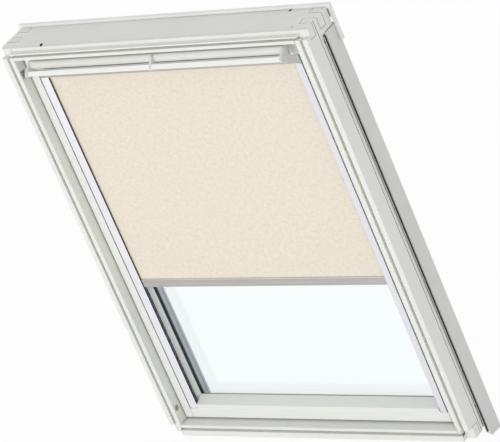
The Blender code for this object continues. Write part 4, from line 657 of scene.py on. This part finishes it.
screws("strike_screws", [((x, (low.y + high.y) / 2, low.z), (0, 0, -1))
                         for x in (-STRIKE_SCREW_OUT, STRIKE_SCREW_OUT)], "frame")
for node in ("vent_bushing", "cleaning_bushing"):
    dress(node, "bush", BUSH_EASING, zinc_plate)

# Sash: rails and stiles of the same lacquered pine, a shade lighter than the frame and a little glossier.
# The rails butt against the stiles. The left stile, which is bored for the bolt, has finer eased edges.
SASH_WHITE, SASH_EDGE_HIGHLIGHT = "#EAEBE7", "#F8F8F5"
SASH_ROUGHNESS = 0.40
SASH_EASING = 0.0007
STILE_EASINGS = {"left": 0.0003, "right": SASH_EASING}
sash_lacquer_upright, sash_lacquer_level = (
    grained_lacquer(f"sash_white_lacquer_{way}", along, SASH_WHITE, SASH_EDGE_HIGHLIGHT, SASH_ROUGHNESS)
    for way, along in (("upright", "Z"), ("level", "X")))
for side, easing in STILE_EASINGS.items():
    dress(f"sash_stile_{side}", "wood", easing, sash_lacquer_upright)
for node in ("sash_top_rail", "sash_bottom_rail"):
    dress(node, "wood", SASH_EASING, sash_lacquer_level)

# Double glazing: two float panes, a perforated aluminium spacer between them with a black sealant line
# along each pane, and a rubber gasket towards the room.
PANE_TINT, PANE_LIGHT = "#FBFEFE", "#F8FCFC"
MILL_BRIGHT, MILL_DULL = "#C4C8CF", "#AEB3BB"
PINHOLE_DARK, SEALANT_BLACK = "#4C4F54", "#3A3B3D"
PINHOLE_STEP, PINHOLE_RADIUS = 0.005, 0.0006
SEALANT_WIDTH = 0.0012
GASKET_GREY = "#8F9290"
GLASS_EASING, SPACER_EASING = 0.0006, 0.0003


def float_glass(name):
    """Clear float glass with the faintest cool tint; lamps shine through it."""
    material, tree, output = blank_material(name)
    where = add_node(tree, "ShaderNodeTexCoord")
    film = add_node(tree, "ShaderNodeTexNoise",
                    {"Vector": where.outputs["Object"], "Scale": 6.0, "Detail": 6.0, "Roughness": 0.6})
    gloss = add_node(tree, "ShaderNodeMapRange",
                     {"Value": film.outputs[0], "From Min": 0.45, "From Max": 0.8,
                      "To Min": 0.0, "To Max": 0.02})
    clear = add_node(tree, "ShaderNodeBsdfPrincipled",
                     {"Base Color": linear(PANE_TINT), "Roughness": gloss.outputs[0], "IOR": 1.45,
                      "Transmission Weight": 1.0})
    path = add_node(tree, "ShaderNodeLightPath")
    light = add_node(tree, "ShaderNodeMath",
                     {0: path.outputs["Is Shadow Ray"], 1: path.outputs["Is Diffuse Ray"]},
                     operation="MAXIMUM")
    through = add_node(tree, "ShaderNodeBsdfTransparent", {"Color": linear(PANE_LIGHT)})
    mixed = add_node(tree, "ShaderNodeMixShader",
                     {0: light.outputs[0], 1: clear.outputs[0], 2: through.outputs[0]})
    tree.links.new(mixed.outputs[0], output.inputs["Surface"])
    return material


def spacer_metal(name, room_face, outer_face):
    """Mill-finish aluminium with rows of pinholes and a black sealant line against each pane."""
    material, tree, output = blank_material(name)
    where = add_node(tree, "ShaderNodeTexCoord")
    place = add_node(tree, "ShaderNodeSeparateXYZ", {0: where.outputs["Object"]})
    low, high = room_face + SEALANT_WIDTH, outer_face - SEALANT_WIDTH
    near = add_node(tree, "ShaderNodeMath", {0: place.outputs[1], 1: low}, operation="LESS_THAN")
    far = add_node(tree, "ShaderNodeMath", {0: place.outputs[1], 1: high}, operation="GREATER_THAN")
    sealed = add_node(tree, "ShaderNodeMath", {0: near.outputs[0], 1: far.outputs[0]}, operation="MAXIMUM")
    holes_place = add_node(tree, "ShaderNodeMapping",
                           {"Vector": where.outputs["Object"], "Scale": (1 / PINHOLE_STEP,) * 3,
                            "Location": (0, -(low + high) / 2 / PINHOLE_STEP, 0)})
    holes = add_node(tree, "ShaderNodeTexVoronoi",
                     {"Vector": holes_place.outputs[0], "Scale": 1.0, "Randomness": 0.0})
    pin = add_node(tree, "ShaderNodeMath",
                   {0: holes.outputs["Distance"], 1: PINHOLE_RADIUS / PINHOLE_STEP}, operation="LESS_THAN")
    brushed = add_node(tree, "ShaderNodeTexNoise", {"Vector": where.outputs["Object"], "Scale": 700.0})
    body = add_node(tree, "ShaderNodeMix",
                    {0: brushed.outputs[0], 6: linear(MILL_BRIGHT), 7: linear(MILL_DULL)}, data_type="RGBA")
    pinned = add_node(tree, "ShaderNodeMix",
                      {0: pin.outputs[0], 6: body.outputs[2], 7: linear(PINHOLE_DARK)}, data_type="RGBA")
    finished = add_node(tree, "ShaderNodeMix",
                        {0: sealed.outputs[0], 6: pinned.outputs[2], 7: linear(SEALANT_BLACK)},
                        data_type="RGBA")
    open_metal = add_node(tree, "ShaderNodeMath", {0: 1.0, 1: sealed.outputs[0]}, operation="SUBTRACT")
    gloss = add_node(tree, "ShaderNodeMapRange",
                     {"Value": brushed.outputs[0], "To Min": 0.3, "To Max": 0.5})
    shader = add_node(tree, "ShaderNodeBsdfPrincipled",
                      {"Base Color": finished.outputs[2], "Roughness": gloss.outputs[0],
                       "Metallic": open_metal.outputs[0]})
    tree.links.new(shader.outputs[0], output.inputs["Surface"])
    return material


pane_glass = float_glass("float_glass")
for node in ("inner_pane", "outer_pane"):
    dress(node, "glass", GLASS_EASING, pane_glass)
low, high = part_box("glass_spacer")
spacer_aluminium = spacer_metal("aluminium_spacer_perforated", low.y, high.y)
dress("glass_spacer", "metal", SPACER_EASING, spacer_aluminium)
gasket_rubber = extruded_rubber("epdm_grey_gasket", "X", GASKET_GREY)
dress("glazing_gasket", "rubber", SEAL_EASING, gasket_rubber)

# Weather covers of the sash: the same coil-coated sheet, screwed to the sash from the outside, with four
# screws a side.
SASH_COVER_EASING = 0.0004
TOP_SCREWS_IN, BOTTOM_SCREWS_IN, SIDE_SCREWS_IN = 0.012, 0.008, 0.009
RAIL_SCREWS_X = (-0.27, -0.09, 0.09, 0.27)
STILE_SCREWS_Z = (0.12, 0.36, 0.62, 0.86)
spots = []
for edge in ("top", "bottom", "left", "right"):
    dress(f"sash_cover_{edge}", "sheet", SASH_COVER_EASING, cover_coating)
    low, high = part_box(f"sash_cover_{edge}")
    if edge in ("top", "bottom"):
        rail_z = high.z - TOP_SCREWS_IN if edge == "top" else low.z + BOTTOM_SCREWS_IN
        spots += [((x, high.y, rail_z), (0, 1, 0)) for x in RAIL_SCREWS_X]
    else:
        stile_x = high.x - SIDE_SCREWS_IN if edge == "right" else low.x + SIDE_SCREWS_IN
        spots += [((stile_x, high.y, z), (0, 1, 0)) for z in STILE_SCREWS_Z]
screws("sash_cover_screws", spots, "sash")

# Lock and barrel bolt: a zinc-plated case with its tongue, and a turned steel bolt in the left stile. The
# bolt's knob carries a black dipped coat where it stands out of the sash.
KNOB_ROOT = -0.0212
LOCK_EASING, BOLT_EASING = 0.0005, 0.0002
for node in ("lock_case", "latch_tongue"):
    dress(node, "steel", LOCK_EASING, zinc_plate)
bolt_steel = zinc_steel("steel_zinc_plated_black_knob", KNOB_ROOT)
dress("barrel_bolt", "steel", BOLT_EASING, bolt_steel)

# Control bar: a powder-coated aluminium panel with the ventilation flap's nose, three cast arms and two grip
# bars. It turns on pins in two nylon brackets at the top of the sash. The grips are a fifth narrower than
# the solids, as in the photograph.
GRIP_LEAN = math.radians(51.5)
GRIP_NARROWING = 0.19
POWDER_ROUGHNESS, POWDER_PEBBLE_MM = 0.36, 0.7
PANEL_EASING, GRIP_EASING, ARM_EASING, BRACKET_EASING = 0.0003, 0.0008, 0.0006, 0.0003
NYLON_WHITE, NYLON_ROUGHNESS, NYLON_GRAIN_MM = "#D9D9D5", 0.42, 0.45
# The panel's coat is the grips' white powder made darker, as painted shade.
grip_coating, panel_shaded_coating, arm_coating = (
    coated_metal(name, colour, edge_highlight, POWDER_ROUGHNESS, POWDER_PEBBLE_MM)
    for name, colour, edge_highlight in (("aluminium_powder_white", "#F2F2EE", "#FBFBF8"),
                                      ("aluminium_powder_white_painted_shade", "#E2E3DE", "#F4F4F1"),
                                      ("zinc_casting_powder_grey_white", "#D8D9D4", "#F8F8F5")))
dress("flap_panel", "panel", PANEL_EASING, panel_shaded_coating)
grip_way = Vector((0.0, math.cos(GRIP_LEAN), math.sin(GRIP_LEAN)))
for node in ("grip_left", "grip_right"):
    low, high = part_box(node)
    middle = (low + high) / 2
    dress(node, "bar", GRIP_EASING, grip_coating,
          reshape=lambda spot: spot - grip_way * (spot - middle).dot(grip_way) * GRIP_NARROWING)
for node in ("arm_left", "arm_middle", "arm_right"):
    dress(node, "casting", ARM_EASING, arm_coating)
bracket_nylon = moulded_plastic("nylon_white", NYLON_WHITE, NYLON_ROUGHNESS, NYLON_GRAIN_MM)
for side, _ in SIDES:
    dress(f"pivot_bracket_{side}", "nylon", BRACKET_EASING, bracket_nylon)

# Blind casing, side guides and bottom bar: extruded aluminium, satin-anodised. The guides keep the metal's
# own silver, the casing and the bar are a warm grey. Extruding leaves very fine lines along each length.
ANODISED, ANODISED_DULL = "#ECEBF0", "#DCDBE1"
BAR_GREY, BAR_DULL = "#BFBBB8", "#AAA7A4"
SILVER_EDGE_HIGHLIGHT, SLOT_PAINTED_SHADE, TOP_PAINTED_SHADE = "#F4F4F7", "#2A2A2C", "#79787B"
METAL_SHARE = 0.8
EXTRUSION_LINE, EXTRUSION_LENGTH = 0.0006, 0.5
EXTRUSION_RELIEF = 0.00005
EXTRUSION_EASING, CAP_EASING = 0.0003, 0.0003
SLOT_EDGE = 0.0004
CASING_RIM = 0.0002
CAP_GREY, CAP_ROUGHNESS, CAP_GRAIN_MM = "#B9BABC", 0.42, 0.45


def satin_anodised(name, along, bright=ANODISED, dull=ANODISED_DULL, slot_reach=0.0, shade_above=10.0):
    """Satin-anodised aluminium with die lines along X or Z, drawn coarser than the real ones so they show.

    Where X is within the slot's reach of the middle, the metal is painted black as the slot's shade; above
    the given height it is painted dark grey as shade."""
    material, tree, output = blank_material(name)
    where = add_node(tree, "ShaderNodeTexCoord")
    lines = add_node(tree, "ShaderNodeTexNoise",
                     {"Vector": drawn_along(tree, where, along, EXTRUSION_LINE, EXTRUSION_LENGTH),
                      "Scale": 1.0, "Detail": 4.0})
    cloud = add_node(tree, "ShaderNodeTexNoise",
                     {"Vector": where.outputs["Object"], "Scale": 22.0, "Detail": 4.0})
    edge = add_node(tree, "ShaderNodeAttribute", attribute_name="eased")
    body = add_node(tree, "ShaderNodeMix", {0: lines.outputs[0], 6: linear(bright), 7: linear(dull)},
                    data_type="RGBA")
    # Eased edges turn lighter: rubbed metal and a painted highlight.
    rubbed_highlight = add_node(tree, "ShaderNodeMath", {0: edge.outputs["Fac"], 1: 0.7}, operation="MULTIPLY")
    finished = add_node(tree, "ShaderNodeMix",
                        {0: rubbed_highlight.outputs[0], 6: body.outputs[2], 7: linear(SILVER_EDGE_HIGHLIGHT)},
                        data_type="RGBA")
    place = add_node(tree, "ShaderNodeSeparateXYZ", {0: where.outputs["Object"]})
    # Faces inside the guide's slot are painted black as shade.
    off_middle = add_node(tree, "ShaderNodeMath", {0: place.outputs[0]}, operation="ABSOLUTE")
    slot_shade = add_node(tree, "ShaderNodeMath", {0: off_middle.outputs[0], 1: slot_reach}, operation="LESS_THAN")
    with_painted_shade = add_node(tree, "ShaderNodeMix",
                     {0: slot_shade.outputs[0], 6: finished.outputs[2], 7: linear(SLOT_PAINTED_SHADE)}, data_type="RGBA")
    shaded_top = add_node(tree, "ShaderNodeMath", {0: place.outputs[2], 1: shade_above}, operation="GREATER_THAN")
    with_painted_shade = add_node(tree, "ShaderNodeMix",
                     {0: shaded_top.outputs[0], 6: with_painted_shade.outputs[2], 7: linear(TOP_PAINTED_SHADE)}, data_type="RGBA")
    metal = add_node(tree, "ShaderNodeMapRange",
                     {"Value": slot_shade.outputs[0], "To Min": METAL_SHARE, "To Max": 0.0})
    gloss = add_node(tree, "ShaderNodeMapRange",
                     {"Value": cloud.outputs[0], "From Min": 0.3, "From Max": 0.7,
                      "To Min": 0.34, "To Max": 0.46})
    skin = add_node(tree, "ShaderNodeBump",
                    {"Strength": 0.25, "Distance": EXTRUSION_RELIEF, "Height": lines.outputs[0]})
    shader = add_node(tree, "ShaderNodeBsdfPrincipled",
                      {"Base Color": with_painted_shade.outputs[2], "Roughness": gloss.outputs[0],
                       "Metallic": metal.outputs[0], "Normal": skin.outputs[0]})
    tree.links.new(shader.outputs[0], output.inputs["Surface"])
    return material


guide_low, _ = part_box("side_guide_right")
anodised_upright = satin_anodised("aluminium_satin_anodised_upright", "Z",
                                  slot_reach=guide_low.x + SLOT_EDGE)
anodised_level = satin_anodised("aluminium_satin_anodised_level", "X")
# The casing's top face, under the flap, is painted dark grey as shade.
_, casing_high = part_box("blind_casing")
casing_metal = satin_anodised("aluminium_satin_anodised_shaded_top", "X", BAR_GREY, BAR_DULL,
                              shade_above=casing_high.z - CASING_RIM)
dress("blind_casing", "extrusion", EXTRUSION_EASING, casing_metal)
bar_metal = satin_anodised("aluminium_satin_anodised_warm", "X", BAR_GREY, BAR_DULL)
dress("bottom_bar", "extrusion", EXTRUSION_EASING, bar_metal)
casing_plastic = moulded_plastic("abs_grey", CAP_GREY, CAP_ROUGHNESS, CAP_GRAIN_MM)
for side, _ in SIDES:
    dress(f"side_guide_{side}", "extrusion", EXTRUSION_EASING, anodised_upright)
    dress(f"casing_end_{side}", "cap", CAP_EASING, casing_plastic)
    dress(f"slider_{side}", "cap", CAP_EASING, casing_plastic)

# Roller: an aluminium tube on two plastic plugs, which turn in the ends of the casing. The rest of the cloth
# is wound on it.
TUBE_EASING = 0.0002
for side, _ in SIDES:
    dress(f"roller_plug_{side}", "cap", CAP_EASING, casing_plastic)
dress("roller_tube", "tube", TUBE_EASING, anodised_level)

# Blind cloth: a plain-weave polyester, beige. It hangs from the roller, stretched by the bottom bar, with its
# edges running in the guides, and leans 1 mm within their slots. What isn't hanging is wound on the roller in
# six turns.
CLOTH_BEIGE, CLOTH_SHADE = "#EAE2D4", "#E0D5C4"
CLOTH_THICKNESS, CLOTH_LEAN = 0.00028, 0.0010
THREAD_SPACING = 0.0009
WAVE_PERIOD = math.pi / 10
SLUB_WIDTH, SLUB_LENGTH = 1 / 420, 1 / 90
WEAVE_RELIEF = 0.00015
CLOTH_ROWS, CLOTH_COLUMNS = 72, 48
WOUND_TURNS, TURN_STEPS, WOUND_COLUMNS = 6, 40, 6
FOLD_ANGLE = math.radians(50)


def woven_polyester(name):
    """Plain weave with slubs. The real threads are about 0.35 mm apart and drawn coarser, so they show.

    The wave texture repeats each WAVE_PERIOD at a scale of 1, and here one wave spans two threads."""
    material, tree, output = blank_material(name)
    flat = add_node(tree, "ShaderNodeUVMap", uv_map="cloth")
    wave_scale = WAVE_PERIOD / (2 * THREAD_SPACING)
    warp, weft = (
        add_node(tree, "ShaderNodeTexWave",
                 {"Vector": flat.outputs[0], "Scale": wave_scale, "Distortion": 0.6, "Detail": 1.0},
                 bands_direction=way) for way in "XY")
    weave = add_node(tree, "ShaderNodeMath",
                     {0: warp.outputs["Fac"], 1: weft.outputs["Fac"]}, operation="MULTIPLY")
    slubs = []
    for scale in ((1 / SLUB_LENGTH, 1 / SLUB_WIDTH, 1), (1 / SLUB_WIDTH, 1 / SLUB_LENGTH, 1)):
        slub_place = add_node(tree, "ShaderNodeMapping", {"Vector": flat.outputs[0], "Scale": scale})
        slubs.append(add_node(tree, "ShaderNodeTexNoise",
                              {"Vector": slub_place.outputs[0], "Scale": 1.0, "Detail": 4.0,
                               "Roughness": 0.6}).outputs[0])
    mottle = add_node(tree, "ShaderNodeMath", {0: slubs[0], 1: slubs[1]}, operation="MULTIPLY")
    cloud = add_node(tree, "ShaderNodeTexNoise", {"Vector": flat.outputs[0], "Scale": 120.0, "Detail": 2.0})
    uneven = add_node(tree, "ShaderNodeMath",
                      {0: mottle.outputs[0], 1: cloud.outputs[0]}, operation="MULTIPLY")
    share = add_node(tree, "ShaderNodeMapRange",
                     {"Value": uneven.outputs[0], "From Min": 0.06, "From Max": 0.22})
    body = add_node(tree, "ShaderNodeMix",
                    {0: share.outputs[0], 6: linear(CLOTH_BEIGE), 7: linear(CLOTH_SHADE)}, data_type="RGBA")
    height = add_node(tree, "ShaderNodeMath", {0: weave.outputs[0], 1: mottle.outputs[0]}, operation="ADD")
    skin = add_node(tree, "ShaderNodeBump",
                    {"Strength": 0.5, "Distance": WEAVE_RELIEF, "Height": height.outputs[0]})
    shader = add_node(tree, "ShaderNodeBsdfPrincipled",
                      {"Base Color": body.outputs[2], "Roughness": 0.82, "IOR": 1.45, "Sheen Weight": 0.15,
                       "Sheen Roughness": 0.4, "Normal": skin.outputs[0]})
    tree.links.new(shader.outputs[0], output.inputs["Surface"])
    return material


def cloth_piece(name, line, half_width, columns, material):
    """A thin closed sheet from a line of (depth, height) points, drawn across the blind's width."""
    run = [0.0]
    for (y0, z0), (y1, z1) in zip(line, line[1:]):
        run.append(run[-1] + math.hypot(y1 - y0, z1 - z0))
    shape = bmesh.new()
    flat = shape.loops.layers.uv.new("cloth")
    grid = [[shape.verts.new((half_width * (2 * column / columns - 1), y, z))
             for column in range(columns + 1)] for y, z in line]
    for row in range(len(line) - 1):
        for column in range(columns):
            spots = ((row, column), (row + 1, column), (row + 1, column + 1), (row, column + 1))
            face = shape.faces.new([grid[down][across] for down, across in spots])
            for loop, (down, across) in zip(face.loops, spots):
                loop[flat].uv = (half_width * 2 * across / columns, run[down])
    cloth = shape_object(name, shape)
    wall = cloth.modifiers.new("cloth_thickness", "SOLIDIFY")
    wall.thickness = CLOTH_THICKNESS
    wall.offset = 0.0
    mesh = apply_modifiers(cloth)
    mesh.materials.clear()
    mesh.materials.append(material)
    mesh.shade_smooth()
    mesh.set_sharp_from_angle(angle=FOLD_ANGLE)
    return cloth


cloth_weave = woven_polyester("polyester_plain_weave_beige")
low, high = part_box("blind_fabric")
cloth_y = (low.y + high.y) / 2
hang = [(cloth_y + CLOTH_LEAN * (0.5 - row / CLOTH_ROWS), high.z + (low.z - high.z) * row / CLOTH_ROWS)
        for row in range(CLOTH_ROWS + 1)]
hanging_cloth = cloth_piece("blind_cloth_hanging", hang, high.x, CLOTH_COLUMNS, cloth_weave)
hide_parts("blind_fabric")
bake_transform(hanging_cloth)

roll_low, roll_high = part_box("wound_fabric")
tube_low, tube_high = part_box("roller_tube")
axis_y, axis_z = (roll_low.y + roll_high.y) / 2, (roll_low.z + roll_high.z) / 2
roll_radius = (roll_high.z - roll_low.z) / 2 - CLOTH_THICKNESS
tube_radius = (tube_high.z - tube_low.z) / 2 + CLOTH_THICKNESS
spiral = []
for step in range(WOUND_TURNS * TURN_STEPS + 1):
    share = step / (WOUND_TURNS * TURN_STEPS)
    radius = roll_radius + (tube_radius - roll_radius) * share
    angle = math.pi + math.tau * WOUND_TURNS * share
    spiral.append((axis_y + radius * math.cos(angle), axis_z - radius * math.sin(angle)))
wound_cloth = cloth_piece("blind_cloth_wound", spiral, high.x, WOUND_COLUMNS, cloth_weave)
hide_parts("wound_fabric")
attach(wound_cloth, "roller")

bpy.context.view_layer.update()
